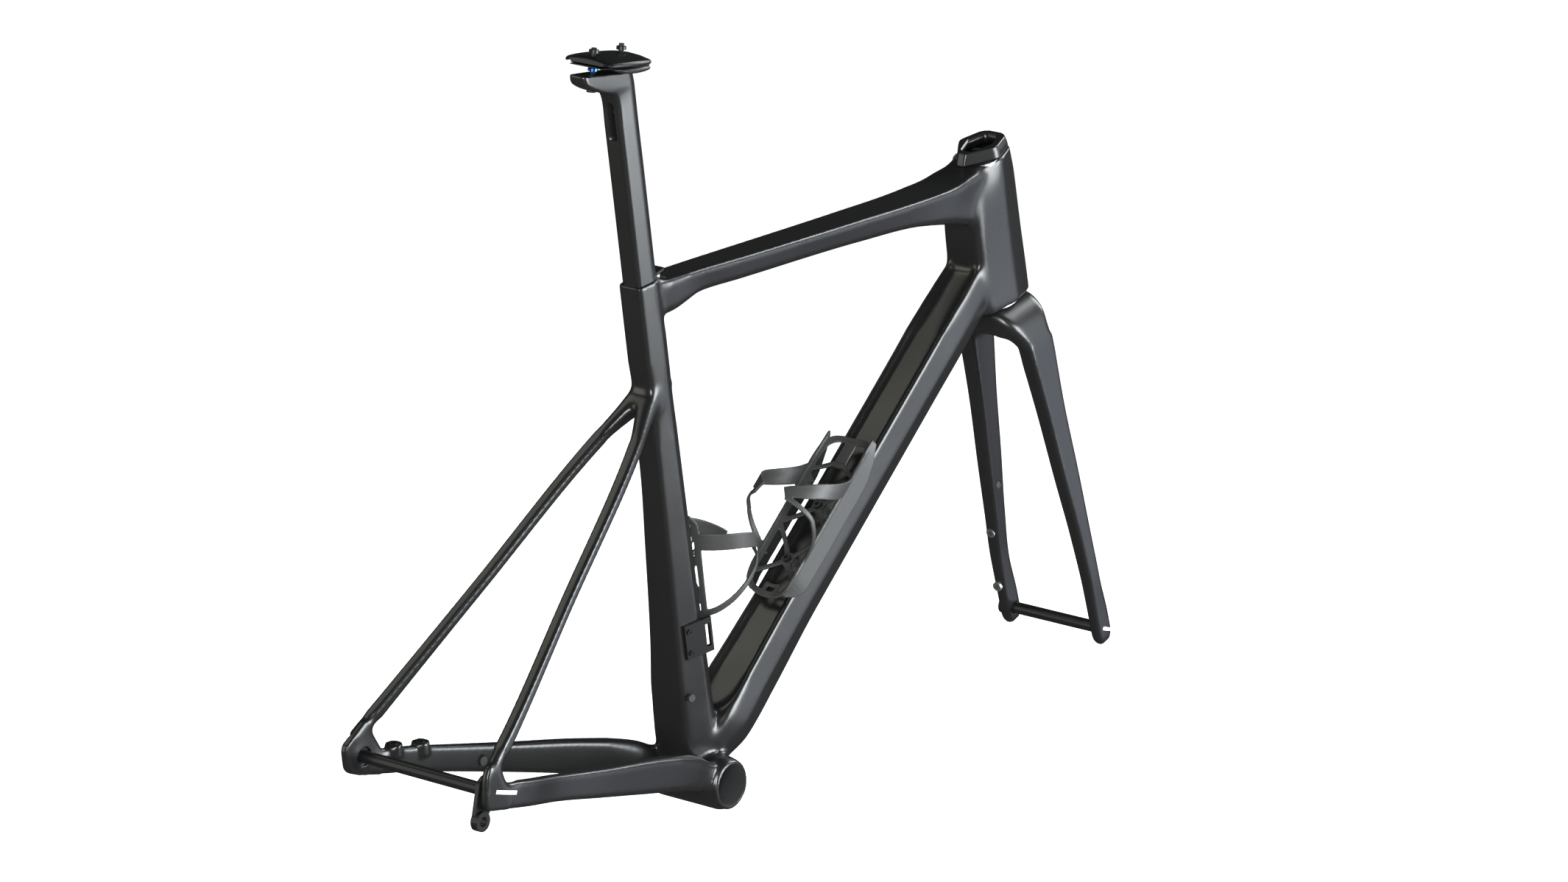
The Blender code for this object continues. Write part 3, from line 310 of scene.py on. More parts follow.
def box_section(up, down, top_half, bottom_half, top_radius, bottom_radius):
    return [
        (up, top_half, top_radius),
        (up, -top_half, top_radius),
        (-down, -bottom_half, bottom_radius),
        (-down, bottom_half, bottom_radius),
    ]


def shield(rear, front, rear_half, wide, lean=0.0):
    """Flat at the back, widest ahead of the middle, with a round nose."""
    waist = front - wide * 0.85
    return [
        (-rear, rear_half + lean, 5.0),
        (waist, wide + lean * 0.5, 6.0),
        (front, wide * 0.62, wide * 0.50),
        (front, -wide * 0.62, wide * 0.50),
        (waist, -wide, 6.0),
        (-rear, -rear_half, 5.0),
    ]


# ---------------------------------------------------------------- frame skin
DOWN_TABLE = [
    # s, reach above the middle, reach below it, half width
    (4.0, 22.0, 20.0, 22.0),
    (40.0, 27.0, 27.0, 27.5),
    (95.0, 25.5, 29.0, 25.0),
    (190.0, 25.0, 26.5, 23.0),
    (430.0, 25.0, 25.5, 23.0),
    (520.0, 26.0, 25.0, 23.5),
    (585.0, 24.0, 23.0, 21.0),
]
CHANNEL_FOOT = 62.0               # where the channel's sides turn into its U


def seat_tube():
    table = [
        # s, rear, front, rear half width, half width, lean of the left side
        (6.0, 19.0, 20.0, 12.0, 19.0, 4.0),
        (45.0, 25.0, 25.0, 13.0, 21.0, 15.0),
        (90.0, 23.0, 24.0, 13.0, 20.0, 14.0),
        (150.0, 21.0, 22.0, 13.0, 19.0, 9.0),
        (240.0, 19.0, 20.0, 13.0, 18.0, 4.0),
        (330.0, 17.5, 19.0, 13.0, 17.0, 0.0),
        (420.0, 17.0, 18.5, 13.0, 16.0, 0.0),
        (COLLAR, 17.0, 18.5, 13.0, 16.0, 0.0),
    ]
    return loft("seat_tube_form", [
        station(on_seat(s), SEAT_FORWARD, LEFT, shield(rear, front, rear_half, wide, lean))
        for s, rear, front, rear_half, wide, lean in smooth_rows(table, 60)
    ])


def down_tube():
    """The down tube, with the channel along its top that ends in a U above the bottom bracket."""
    rings = []
    rows = smooth_rows(DOWN_TABLE, 80)
    for s, up, down, half in rows:
        corners = [
            (up, half - 1.5, 2.5), (up, 1.5 - half, 2.5), (0.0, -half - 1.5, 12.0),
            (-down, -half + 5.0, 14.0), (-down, half - 5.0, 14.0), (0.0, half + 1.5, 12.0),
        ]
        rings.append(station(on_down(s), DOWN_UP, LEFT, corners))
    tube = loft("down_tube_form", rings)
    stations = [row[0] for row in rows]
    tops = [row[1] for row in rows]
    halves = [row[3] for row in rows]
    rings = []
    for depth, spread in ((-5.0, -9.0), (-1.0, -6.0), (0.2, -5.5), (6.0, -5.5)):
        left = []
        for s in np.linspace(600.0, CHANNEL_FOOT, 60):
            left.append((s, float(np.interp(s, stations, halves)) + spread))
        reach = left[-1][1]
        bend = [
            (CHANNEL_FOOT - 1.35 * reach * sin(k * pi / 12), reach * cos(k * pi / 12)) for k in range(1, 12)
        ]
        right = [(s, -v) for s, v in reversed(left)]
        outline = left + bend + right
        rings.append([on_down(s, float(np.interp(s, stations, tops)) + depth, v) for s, v in outline])
    return cut(tube, [loft("channel_form", rings)], solver="EXACT")


def top_tube():
    table = [
        # x, top, bottom, half width at the top and at the bottom
        (-132.0, 491.5, 462.0, 13.5, 11.0),
        (-108.0, 494.5, 458.0, 16.5, 12.0),
        (-60.0, 499.5, 475.0, 18.0, 13.0),
        (0.0, 505.0, 481.0, 19.5, 14.5),
        (180.0, 522.5, 497.5, 22.0, 16.0),
        (270.0, 532.0, 503.0, 23.5, 17.5),
        (320.0, 540.0, 500.0, 24.5, 18.5),
        (348.0, 548.5, 497.0, 23.5, 18.5),
        (372.0, 553.0, 494.0, 21.5, 18.0),
    ]
    rings = []
    for x, top, bottom, top_half, bottom_half in smooth_rows(table, 60):
        half = (top - bottom) / 2
        corners = box_section(half, half, top_half, bottom_half, 4.0, 8.0)
        rings.append(station((x, 0.0, (top + bottom) / 2), UP, LEFT, corners))
    return loft("top_tube_form", rings)


def head_tube():
    table = [
        # t, reach ahead, reach behind, half width, half width at the rear
        (HEAD_BOTTOM, 41.5, 36.0, 28.5, 24.5),
        (400.0, 42.0, 40.0, 27.5, 23.6),
        (450.0, 41.0, 40.0, 26.5, 22.8),
        (500.0, 40.0, 36.0, 26.5, 21.5),
        (HEAD_TOP, 36.5, 29.5, 26.5, 15.0),
    ]
    rings = []
    for t, ahead, behind, half, rear_half in smooth_rows(table, 30):
        corners = [
            (ahead, half * 0.62, 13.0),
            (ahead, -half * 0.62, 13.0),
            (6.0, -half, 12.0),
            (-behind, -rear_half, 8.0),
            (-behind, rear_half, 8.0),
            (6.0, half, 12.0),
        ]
        rings.append(station(on_steer(t), STEER_FORWARD, LEFT, corners))
    return loft("head_tube_form", rings)


def chainstay(side):
    table = [
        # x, y, z of the middle, half height, half width
        (-396.0, 74.5, 62.5, 10.5, 4.6),
        (-386.0, 74.0, 61.0, 11.5, 5.0),
        (-340.0, 69.5, 57.0, 12.0, 5.5),
        (-300.0, 65.5, 52.0, 12.5, 6.0),
        (-217.0, 56.0, 41.5, 14.0, 7.0),
        (-125.0, 43.5, 30.0, 16.5, 8.5),
        (-60.0, 34.5, 20.0, 17.0, 9.5),
        (-20.0, 29.0, 8.0, 14.0, 8.0),
    ]
    if side < 0:    # the right stay runs flush into the outer face of its dropout
        table[:3] = [
            (-400.0, 79.0, 64.5, 12.0, 4.7),
            (-380.0, 78.0, 62.0, 12.5, 5.4),
            (-345.0, 73.5, 57.5, 12.5, 6.2),
        ]
    rows = smooth_rows(table, 50)
    rings = []
    for index, (x, y, z, tall, wide) in enumerate(rows):
        along = run_at(rows, index)
        corner = 0.6 * wide
        corners = box_section(tall, tall, wide - 0.5, wide, corner, corner)
        rings.append(leaning_station((x, y, z), along, corners, side))
    return loft(f"chainstay_form{side}", rings)


def seatstay(side):
    """One seatstay with its arm of the yoke, from the dropout to the seat tube."""
    table = [
        # x, y, z of the middle, half height, half width
        (-410.0, 80.5, 84.0, 7.2, 5.8),
        (-379.5, 73.4, 115.0, 5.8, 5.8),
        (-283.0, 50.9, 213.5, 4.9, 5.8),
        (-156.1, 21.3, 343.0, 5.3, 6.3),
        (-139.4, 13.8, 360.0, 7.5, 8.0),
        (-121.7, 6.5, 378.0, 9.5, 9.5),
        (-100.0, 3.5, 399.0, 10.0, 8.5),
    ]
    if side < 0:    # the foot of the right stay, on its smaller dropout
        table[0] = (-408.5, 77.6, 84.0, 7.6, 5.8)
    rows = smooth_rows(table, 70)
    rings = []
    for index, (x, y, z, tall, wide) in enumerate(rows):
        along = run_at(rows, index)
        corners = box_section(tall, tall, wide, wide, 2.4, 2.4)
        rings.append(leaning_station((x, y, z), along, corners, side))
    return loft(f"seatstay_form{side}", rings)


def dropout(side):
    """The plate at the wheel axle, drawn out up to the seatstay and ahead to the chainstay."""
    if side > 0:
        outline = rounded([
            (-431.5, 80.5, 9.0), (-425.0, 56.0, 11.0), (-408.0, 51.5, 9.0), (-378.0, 47.5, 3.0),
            (-380.0, 76.0, 9.0), (-392.0, 90.0, 5.0), (-403.0, 104.0, 4.0),
        ])
        raised = turned("axle_ring", REAR_AXLE, LEFT, [(0, 70.4), (13.0, 70.4), (13.0, 76.0), (0, 76.0)])
        return [plate("drop_left", outline, REAR_SPACING / 2 + 0.2, 79.0), raised]
    outline = rounded([
        (-416.0, 53.0, 8.0), (-418.0, 84.0, 6.0), (-414.0, 96.0, 5.0), (-397.0, 93.0, 6.0),
        (-385.0, 73.0, 8.0), (-380.0, 49.5, 4.0),
    ])
    return [plate("drop_right", outline, -84.0, -75.3)]


def shell():
    end = SHELL_WIDTH / 2
    profile = [
        (0, -end), (24.0, -end), (24.0, 4 - end), (26.0, -34.0),
        (26.0, 34.0), (24.0, end - 4), (24.0, end), (0, end),
    ]
    return turned("shell_form", Vector(), LEFT, profile, 64)


PAD_AXIS = Vector((-0.13, 0.0, 0.99)).normalized()
BRAKE_PADS = ((-363.5, 72.2, 72.0), (-329.5, 68.5, 69.3))
PORTS = (
    # place, axis out of the tube, radius of the hole
    ((-40.5, -20.0, 85.7), (-0.3, -0.95, 0.0), 4.0),
    ((-256.0, 51.5, 44.8), (-0.12, -0.99, 0.0), 4.8),
)


def drilled(name, place, axis, radius, low, high):
    """A helper cylinder along axis from low to high of the place."""
    profile = [(0, low), (radius, low), (radius, high), (0, high)]
    return turned(name, Vector(place), Vector(axis), profile, 32)


def build_frame_skin():
    """Frame: one continuous moulding of the main tubes, stays, shell and dropouts."""
    forms = [seat_tube(), down_tube(), top_tube(), head_tube(), shell()]
    for side in (1, -1):
        forms += [chainstay(side), seatstay(side), *dropout(side)]
    pad = [(0, -10), (9.0, -10), (8.5, 2.9), (0, 2.9)]
    for place in BRAKE_PADS:
        forms.append(turned("brake_pad", Vector(place), PAD_AXIS, pad, 32))
    spots = [
        ((0.0, 0.0, 45.0), 70.0),
        ((-45.0, 0.0, 30.0), 60.0),
        (on_seat(390.0, -20.0), 45.0),
        (on_seat(488.0, 24.0), 34.0),
        (on_steer(480.0, -34.0), 75.0),
        (on_steer(410.0, -40.0), 75.0),
    ]
    for side in (1, -1):
        spots.append(((-398.0, side * 76.0, 84.0), 24.0))
        spots.append(((-384.0, side * 74.0, 72.0), 20.0))
    skin = mould("frame_skin", forms, 1.3 if FINE else 2.6, 6 if FINE else 3, spots, 110 if FINE else 25)
    bore, end = SHELL_BORE / 2, SHELL_WIDTH / 2
    cutters = [
        turned("bore", Vector(), LEFT, [(0, -60), (bore, -60), (bore, 60), (0, 60)], 64),
        turned("face_left", Vector(), LEFT, [(0, end), (60, end), (60, 60), (0, 60)], 64),
        turned("face_right", Vector(), LEFT, [(0, -60), (60, -60), (60, -end), (0, -end)], 64),
        turned("steerer_bore", on_steer(HEAD_TOP), STEER_UP, [(0, -160), (20, -160), (20, 5), (0, 5)]),
        turned("axle_left", REAR_AXLE, LEFT, [
            (0, 60), (9.2, 60), (9.2, 73.0), (6.3, 73.0), (6.3, 75.5), (9.4, 75.5), (9.4, 95), (0, 95),
        ]),
        turned("axle_right", REAR_AXLE, LEFT, [(0, -82.1), (8.3, -82.1), (8.3, -60), (0, -60)]),
        block("head_trim_top", on_steer(HEAD_TOP + 20), STEER_AXES, (40, 140, 100)),
        block("head_trim_low", on_steer(HEAD_BOTTOM - 20), STEER_AXES, (40, 100, 100)),
        block("collar_trim", on_seat(COLLAR + 20, -4.0), (SEAT_UP, SEAT_FORWARD, LEFT), (40, 45, 60)),
    ]
    for place, axis, radius in PORTS:
        cutters.append(drilled("port", place, axis, radius, -5.0, 12.0))
    for place in BRAKE_PADS:
        profile = [(0, -26), (3.3, -26), (3.3, -0.3), (5.5, -0.3), (5.5, 9), (0, 9)]
        cutters.append(turned("sleeve_clearance", Vector(place), PAD_AXIS, profile, 32))
    return cut(skin, cutters)


# ---------------------------------------------------------------- fork skin
CROWN_TOP = HEAD_BOTTOM - 1.3
LEG_TOP = 328.0
FORK_MOUNTS = ((533.4, 54.2, 152.0), (556.8, 57.0, 92.6))    # brake inserts in the left leg
FORK_MOUNT_AXIS = (0.93, 0.0, 0.37)
HOSE_PORT = (522.8, 41.7, 206.0)
HOSE_PORT_AXIS = (0.0, -1.0, 0.1)


def fork_crown():
    table = [
        # t, u, y, thickness, depth, tilt of the outer face from the steering axis
        (CROWN_TOP - 13.0, 5.0, 0.0, 26.0, 66.0, 0.0),
        (CROWN_TOP - 13.5, 5.5, 15.0, 26.0, 64.0, 8.0),
        (354.0, 7.0, 26.0, 25.0, 58.0, 40.0),
        (343.0, 10.0, 32.5, 20.0, 48.0, 70.0),
        (LEG_TOP, 15.0, 36.0, 18.5, 39.5, 90.0),
    ]
    rows = smooth_rows(table, 24)
    stations = [(-1, row) for row in rows[:0:-1]] + [(1, row) for row in rows]
    rings = []
    for side, (t, u, y, thick, deep, tilt) in stations:
        outward = STEER_UP * cos(radians(tilt)) + LEFT * (side * sin(radians(tilt)))
        corners = box_section(deep / 2, deep / 2, thick / 2, thick / 2, 7.0, 7.0)
        rings.append(station(on_steer(t, u, side * y), STEER_FORWARD, outward, corners))
    return loft("crown_form", rings)


def fork_leg(side):
    top = on_steer(LEG_TOP + 4.0, 14.5, 0.0)
    table = [
        # x, z of the middle, inner y, outer y, depth
        (top.x, top.z, 26.5, 45.0, 40.0),
        (485.5, 295.0, 33.6, 50.6, 29.0),
        (508.5, 239.0, 38.8, 55.0, 26.0),
        (535.5, 173.0, 45.0, 60.0, 20.5),
        (556.0, 123.0, 49.0, 62.6, 19.0),
        (575.5, 82.0, 50.0, 62.0, 22.5),
        (583.3, 64.0, 50.0, 62.0, 22.4),
        (587.2, 55.5, 51.0, 61.0, 15.0),
    ]
    rows = smooth_rows([(x, z, 0.0, inner, outer, deep) for x, z, inner, outer, deep in table], 60)
    rings = []
    for index, (x, z, _, inner, outer, deep) in enumerate(rows):
        above, below = rows[max(index - 1, 0)], rows[min(index + 1, len(rows) - 1)]
        down = Vector((below[0] - above[0], 0.0, below[1] - above[1])).normalized()
        forward = Vector((-down.z, 0.0, down.x))
        half = (outer - inner) / 2
        corners = box_section(deep / 2, deep / 2, half, half, 4.0, 4.0)
        rings.append(mirrored(station((x, (inner + outer) / 2, z), forward, LEFT, corners), side))
    return loft(f"leg_form{side}", rings)


def build_fork_skin():
    spots = [(on_steer(345.0, 12.0, side * 30.0), 38.0) for side in (1, -1)]
    forms = [fork_crown(), fork_leg(1), fork_leg(-1)]
    skin = mould("fork_skin", forms, 1.2 if FINE else 2.4, 6 if FINE else 3, spots, 50 if FINE else 12)
    cutters = [
        turned("axle", FRONT_AXLE, LEFT, [(0, -60.4), (6.3, -60.4), (6.3, 90), (0, 90)]),
        turned("insert", FRONT_AXLE, LEFT, [(0, -60.4), (8.3, -60.4), (8.3, -40), (0, -40)]),
        block("crown_trim", on_steer(CROWN_TOP + 20), STEER_AXES, (40, 120, 90)),
        drilled("hose_port", HOSE_PORT, HOSE_PORT_AXIS, 4.0, -4.0, 8.0),
    ]
    for place in FORK_MOUNTS:
        cutters.append(drilled("mount_clearance", place, FORK_MOUNT_AXIS, 5.3, -9.0, 8.4))
    return cut(skin, cutters)


# ---------------------------------------------------------------- headset cover, seatpost, saddle clamp
CLAMP_BOLTS = (-191.0, -230.5)    # x of the front and the rear bolt of the saddle clamp
RAIL_HEIGHT = 700.6               # middle of the saddle rails
RAIL_REACH = 22.0                 # from the middle plane to a rail
SLOT_MIDDLE = 674.0               # of the slot in the post's rear face, along the seat tube


def build_cover():
    """The headset cover, drawn to a point at the rear, with an opening of the same shape."""
    table = [
        # t, reach ahead, reach behind, half width
        (HEAD_TOP + 0.3, 36.2, 27.5, 25.2),
        (HEAD_TOP + 6.0, 35.5, 25.5, 24.4),
        (HEAD_TOP + 12.2, 34.2, 22.4, 22.4),
    ]
    rings = []
    for t, ahead, behind, half in table:
        corners = [
            (ahead, half * 0.6, 11.0), (ahead, -half * 0.6, 11.0), (4.0, -half, 12.0),
            (-behind, -4.5, 3.0), (-behind, 4.5, 3.0), (4.0, half, 12.0),
        ]
        rings.append(station(on_steer(t), STEER_FORWARD, LEFT, corners))
    form = loft("cover_form", rings)
    skin = mould("headset_cover_skin", [form], 0.7 if FINE else 1.4, 5 if FINE else 2)
    opening = [(28, 8, 6), (28, -8, 6), (8, -14.5, 10), (-16, -7, 5), (-16, 7, 5), (8, 14.5, 10)]
    hole = [station(on_steer(t), STEER_FORWARD, LEFT, opening) for t in (HEAD_TOP - 5, HEAD_TOP + 17)]
    foot = block("cover_trim", on_steer(HEAD_TOP - 9.7), STEER_AXES, (20, 100, 80))
    return cut(skin, [loft("opening_form", hole), foot])


def build_post():
    """The seatpost: straight up to the head, which then sweeps back over a long slot in the rear face."""
    table = [
        # rear point, front point (x and z of each), half width at the rear, half width
        (-183.4, 592.8, -154.5, 601.0, 10.5, 13.0),
        (-197.0, 640.0, -168.2, 648.2, 10.5, 13.0),
        (-203.9, 664.0, -174.8, 672.2, 10.5, 13.0),
        (-209.0, 671.5, -176.3, 677.5, 10.6, 13.0),
        (-226.0, 674.9, -177.6, 682.0, 10.6, 13.0),
        (-243.0, 679.8, -179.0, 686.0, 10.4, 12.6),
        (-252.0, 685.0, -180.0, 689.0, 10.0, 12.3),
        (-254.4, 691.9, -181.0, 691.9, 9.4, 12.0),
    ]
    rings = []
    for s in np.linspace(393.0, 600.0, 20):
        rings.append(station(on_seat(float(s)), SEAT_FORWARD, LEFT, shield(14.5, 15.5, 10.5, 13.0)))
    for rear_x, rear_z, front_x, front_z, half_rear, half in smooth_rows(table, 40):
        rear = Vector((rear_x, 0.0, rear_z))
        front = Vector((front_x, 0.0, front_z))
        reach = (front - rear).length / 2
        forward = (front - rear).normalized()
        rings.append(station((rear + front) / 2, forward, LEFT, shield(reach, reach, half_rear, half)))
    skin = mould("seatpost_skin", [loft("post_form", rings)], 0.9 if FINE else 1.8, 6 if FINE else 2)
    oval = rounded([(19.0, 4.6, 4.4), (19.0, -4.6, 4.4), (-19.0, -4.6, 4.4), (-19.0, 4.6, 4.4)], 8)
    slot = [[on_seat(SLOT_MIDDLE + s, u, v) for s, v in oval] for u in (-30.0, -4.0)]
    front, rear = CLAMP_BOLTS
    holes = [
        loft("slot_form", slot),
        block("head_trim", Vector((-215.0, 0.0, 702.0)), (UP, AHEAD, LEFT), (20, 120, 60)),
        drilled("front_hole", (front, 0.0, 660.0), UP, 3.0, -10.0, 60.0),
        drilled("rear_hole", (rear, 0.0, 655.0), UP, 3.0, 0.0, 60.0),
        drilled("rear_hole_seat", (rear, 0.0, 655.0), UP, 5.0, 0.0, 25.0),
    ]
    return cut(skin, holes)


def clamp_plate(name, table):
    """A plate of the saddle clamp, grooved for the rails: rows of x, half width, underside, edge, crown."""
    rings = []
    for x, half, under, edge, crown in smooth_rows(table, 24):
        waist = (under + edge) / 2
        shoulder = crown - (crown - edge) * 0.25
        section = [
            (-half, under), (half, under), (half + 0.6, waist), (half - 1.0, edge), (half * 0.5, shoulder),
            (0.0, crown), (-half * 0.5, shoulder), (1.0 - half, edge), (-half - 0.6, waist),
        ]
        rings.append([Vector((x, y, z)) for y, z in section])
    skin = mould(name, [loft(f"{name}_form", rings)], 0.5 if FINE else 1.0, 4 if FINE else 2)
    tools = []
    for side in (-1, 1):
        rail = (-300.0, side * RAIL_REACH, RAIL_HEIGHT)
        tools.append(drilled("rail_groove", rail, AHEAD, 3.7, 0.0, 200.0))
    for x in CLAMP_BOLTS:
        tools.append(block("bolt_slot", Vector((x, 0.0, 700.0)), (AHEAD, LEFT, UP), (9.0, 6.4, 40.0)))
    return cut(skin, tools)


def build_clamp():
    """The domed top plate and the cradle under the rails."""
    roof = clamp_plate("clamp_roof", [
        (-240.0, 24.0, 701.2, 704.0, 706.0),
        (-236.0, 27.0, 701.0, 705.0, 708.0),
        (-210.0, 29.5, 700.9, 705.5, 709.3),
        (-182.0, 27.0, 700.9, 704.6, 708.2),
        (-174.0, 22.0, 701.2, 703.6, 705.4),
    ])
    bed = clamp_plate("clamp_bed", [
        (-241.0, 22.0, 698.9, 699.6, 700.3),
        (-226.0, 26.0, 698.0, 699.6, 700.4),
        (-214.0, 27.0, 694.4, 699.2, 700.4),
        (-202.0, 27.0, 693.8, 699.2, 700.4),
        (-180.0, 25.0, 695.2, 699.2, 700.4),
        (-172.0, 20.0, 698.5, 699.4, 700.3),
    ])
    return roof, bed


# ---------------------------------------------------------------- bottle cages
CAGE_THICK = 2.4
BOTTLE_RADIUS = 37.2
PAD_TOP = 2.9                     # face under the bolt heads, out from the foot of the cage
DOWN_BOLTS = (43.9, 107.4)
SEAT_BOLTS = (20.0, 84.0)


class Cage:
    """The frame of reference of a bottle cage: h up the tube, phi round the bottle from the tube side."""

    def __init__(self, foot, along, out):
        self.foot = foot
        self.along = along
        self.out = out
        self.parts = []

    def point(self, phi, h, r):
        centre = self.out * (BOTTLE_RADIUS + CAGE_THICK)
        return self.foot + self.along * h + centre - self.out * (r * cos(phi)) + LEFT * (r * sin(phi))

    def strip(self, path, inner=0.0, outer=CAGE_THICK, count=30):
        """A bent strip with soft edges through (phi in degrees, h, width) rows."""
        scale = radians(1.0) * BOTTLE_RADIUS
        rows = smooth_rows([(phi * scale, h, 0.0, width) for phi, h, width in path], count)
        rings = []
        for index, (arc, h, _, width) in enumerate(rows):
            ahead = rows[min(index + 1, count - 1)]
            behind = rows[max(index - 1, 0)]
            run = ahead[0] - behind[0]
            rise = ahead[1] - behind[1]
            length = max(hypot(run, rise), 0.001)
            ring = []
            for r, end in ((inner, -1), (inner, 0), (inner, 1), (outer, 1), (outer, 0), (outer, -1)):
                shift = end * width / 2
                turn = (arc - shift * rise / length) / BOTTLE_RADIUS
                ring.append(self.point(turn, h + shift * run / length, BOTTLE_RADIUS + r))
            rings.append(ring)
        self.parts.append(loft("cage_strip", rings))

    def sides(self, path, **settings):
        """The same strip on the left and on the right."""
        for side in (1, -1):
            self.strip([(side * phi, h, width) for phi, h, width in path], **settings)

    def pad(self, h, radius, low, high):
        """A round pad where a bolt goes through, between two heights out of the tube."""
        profile = [(0, low), (radius, low), (radius, high), (0, high)]
        self.parts.append(turned("cage_pad", self.foot + self.along * h, self.out, profile, 32))


def finish_cage(name, cage, heights):
    """Melts the parts of a cage together and clears the way for its bolts."""
    skin = mould(name, cage.parts, 0.7 if FINE else 1.6, 3 if FINE else 1)
    drills = []
    for h in heights:
        base = cage.foot + cage.along * h
        profile = [(0, -9.0), (2.9, -9.0), (2.9, PAD_TOP), (5.0, PAD_TOP), (5.0, 14.0), (0, 14.0)]
        drills.append(turned("bolt_clearance", base, cage.out, profile, 32))
    return cut(skin, drills)


def build_down_cage():
    """The down tube's cage: a lattice of ribs in closed rims, with walls down past the channel."""
    cage = Cage(on_down(160.0, 30.5), DOWN_ALONG, DOWN_UP)
    # rims, the closed U at the foot and the arch at the top
    cage.sides([
        (15, 3.2, 6.5), (28, 5.5, 6.5), (37, 12, 7), (40.5, 24, 7), (41, 60, 7), (41, 100, 7), (41, 132, 7),
    ])
    cage.strip([(-18, 3.4, 7.0), (0, 2.6, 7.0), (18, 3.4, 7.0)])
    cage.strip([(-13, 14, 4), (0, 13, 4), (13, 14, 4)])
    cage.strip([(-10, 4, 4), (-10, 14, 4)])
    cage.strip([(10, 4, 4), (10, 14, 4)])
    cage.sides([(41, 132, 7), (42, 150, 7), (40, 168, 7), (31, 179, 7), (18, 183, 7), (6, 183.5, 7)])
    cage.strip([(-8, 183.5, 7.0), (0, 183.7, 7.0), (8, 183.5, 7.0)])
    cage.strip([(4, 182, 13), (4, 168, 12), (4, 155, 13)], inner=-0.2, outer=2.4)
    cage.strip([(-6, 155, 5), (4, 154, 5), (16, 155, 5)], inner=-0.8, outer=3.2)
    # wide strap round to the tip, and the thin one back down to the rim
    cage.sides([
        (36, 137, 20), (50, 128, 17), (84, 109, 15.5), (115, 94, 14.5),
        (133, 85, 13.5), (148, 79, 12), (158, 75, 11),
    ], outer=2.5, count=44)
    cage.sides([
        (153, 71, 5), (139, 70, 5), (120, 69, 5), (103, 67.5, 5), (92, 64, 5), (78, 59, 5.2), (60, 52, 6),
        (48, 46, 7), (36, 39, 9),
    ], count=44)
    # ribs between the bolt pads and the rims
    cage.strip([(0, 44, 6), (18, 33, 4.5), (39, 19, 5)])
    cage.strip([(0, 44, 6), (18, 61, 4.5), (40, 77, 6)])
    cage.strip([(0, 44, 6), (-15, 54, 4.5), (-39, 65, 5)])
    cage.strip([(0, 44, 6), (-14, 33, 4.5), (-38, 17, 5)])
    cage.strip([(41, 77, 6), (20, 92, 4.5), (0, 107.4, 6)])
    cage.strip([(0, 107.4, 6), (-17, 95, 4.5), (-40, 81, 5)])
    cage.strip([(0, 107.4, 6), (20, 119, 4.5), (40, 130, 7)])
    cage.strip([(0, 107.4, 6), (-20, 119, 4.5), (-40, 130, 7)])
    cage.strip([(41, 140, 5), (28, 147, 4.5), (15, 154.5, 5)])
    cage.strip([(-41, 141, 5), (-22, 147, 4.5), (-5, 154.5, 5)])
    for h in DOWN_BOLTS:
        cage.pad(h, 7.2, 0.2, PAD_TOP)
    # the walls that hang from the rims beside the tube, closed round the foot
    rows = [
        # distance along the tube, height of the lower edge above its middle
        (163.5, 33.0, 0.0),
        (170.0, 25.0, 0.0),
        (178.0, 21.0, 0.0),
        (240.0, 20.4, 0.0),
        (300.0, 20.6, 0.0),
        (325.0, 27.0, 0.0),
        (344.0, 38.0, 0.0),
    ]
    for side in (1, -1):
        rings = []
        for s, low, _ in smooth_rows(rows, 40):
            tuck = 8.0 * max(0.0, (190.0 - s) / 27.0) ** 2.2 + 1.2 * max(0.0, (s - 300.0) / 44.0) ** 2
            drop = tuck * 0.9
            wall = (
                (25.2 - tuck, 44.4 - drop), (27.6 - tuck, 45.0 - drop),
                (30.0 - tuck, low), (27.9 - tuck, low),
            )
            rings.append(mirrored([on_down(s, n, y) for y, n in wall], side))
        cage.parts.append(loft("cage_wall", rings))
    return finish_cage("down_cage_skin", cage, DOWN_BOLTS)


def build_seat_cage():
    """The seat tube's cage: a narrow ladder of a plate with a wide and a thin strap on each side."""
    cage = Cage(on_seat(155.0, 24.0), SEAT_UP, SEAT_FORWARD)
    cage.sides([(8, 3.5, 6), (15, 8, 6), (16, 30, 5.5), (16, 74, 6), (15, 98, 6), (7, 103.5, 6)])
    cage.strip([(-9, 3.2, 6.4), (0, 3.0, 6.4), (9, 3.2, 6.4)])
    cage.strip([(-9, 104.0, 6), (0, 104.3, 6), (9, 104.0, 6)])
    cage.strip([(0, 20, 9), (0, 84, 9)])
    cage.sides([(0, 52, 7), (9, 60, 4.5), (16, 70, 5)])
    cage.sides([(0, 40, 7), (9, 30, 4.5), (16, 20, 5)])
    cage.sides([(0, 84, 8), (9, 92, 5), (15, 98, 5)])
    cage.sides([
        (12, 82, 18), (40, 80.5, 17), (75, 76, 15.5), (110, 67, 14.0),
        (135, 58.5, 13), (150, 53, 12), (157, 50.5, 10.5),
    ], outer=2.4, count=44)
    cage.sides([
        (152, 47, 5), (130, 44, 5), (105, 38, 5), (80, 28.5, 5), (55, 18, 5.5), (30, 9.5, 6), (10, 5.5, 7),
    ], count=44)
    for h in SEAT_BOLTS:
        cage.pad(h, 7.2, 0.2, PAD_TOP)
    return finish_cage("seat_cage_skin", cage, SEAT_BOLTS)


# ---------------------------------------------------------------- materials
def node(tree, kind, **settings):
    made = tree.nodes.new(kind)
    for key, value in settings.items():
        if key in made.inputs:
            made.inputs[key].default_value = value
        else:
            setattr(made, key, value)
    return made


ROUGHNESS_SPREAD = 0.06
GRAIN_DEPTH = 0.0003
MACHINED_GRAIN = 2500.0


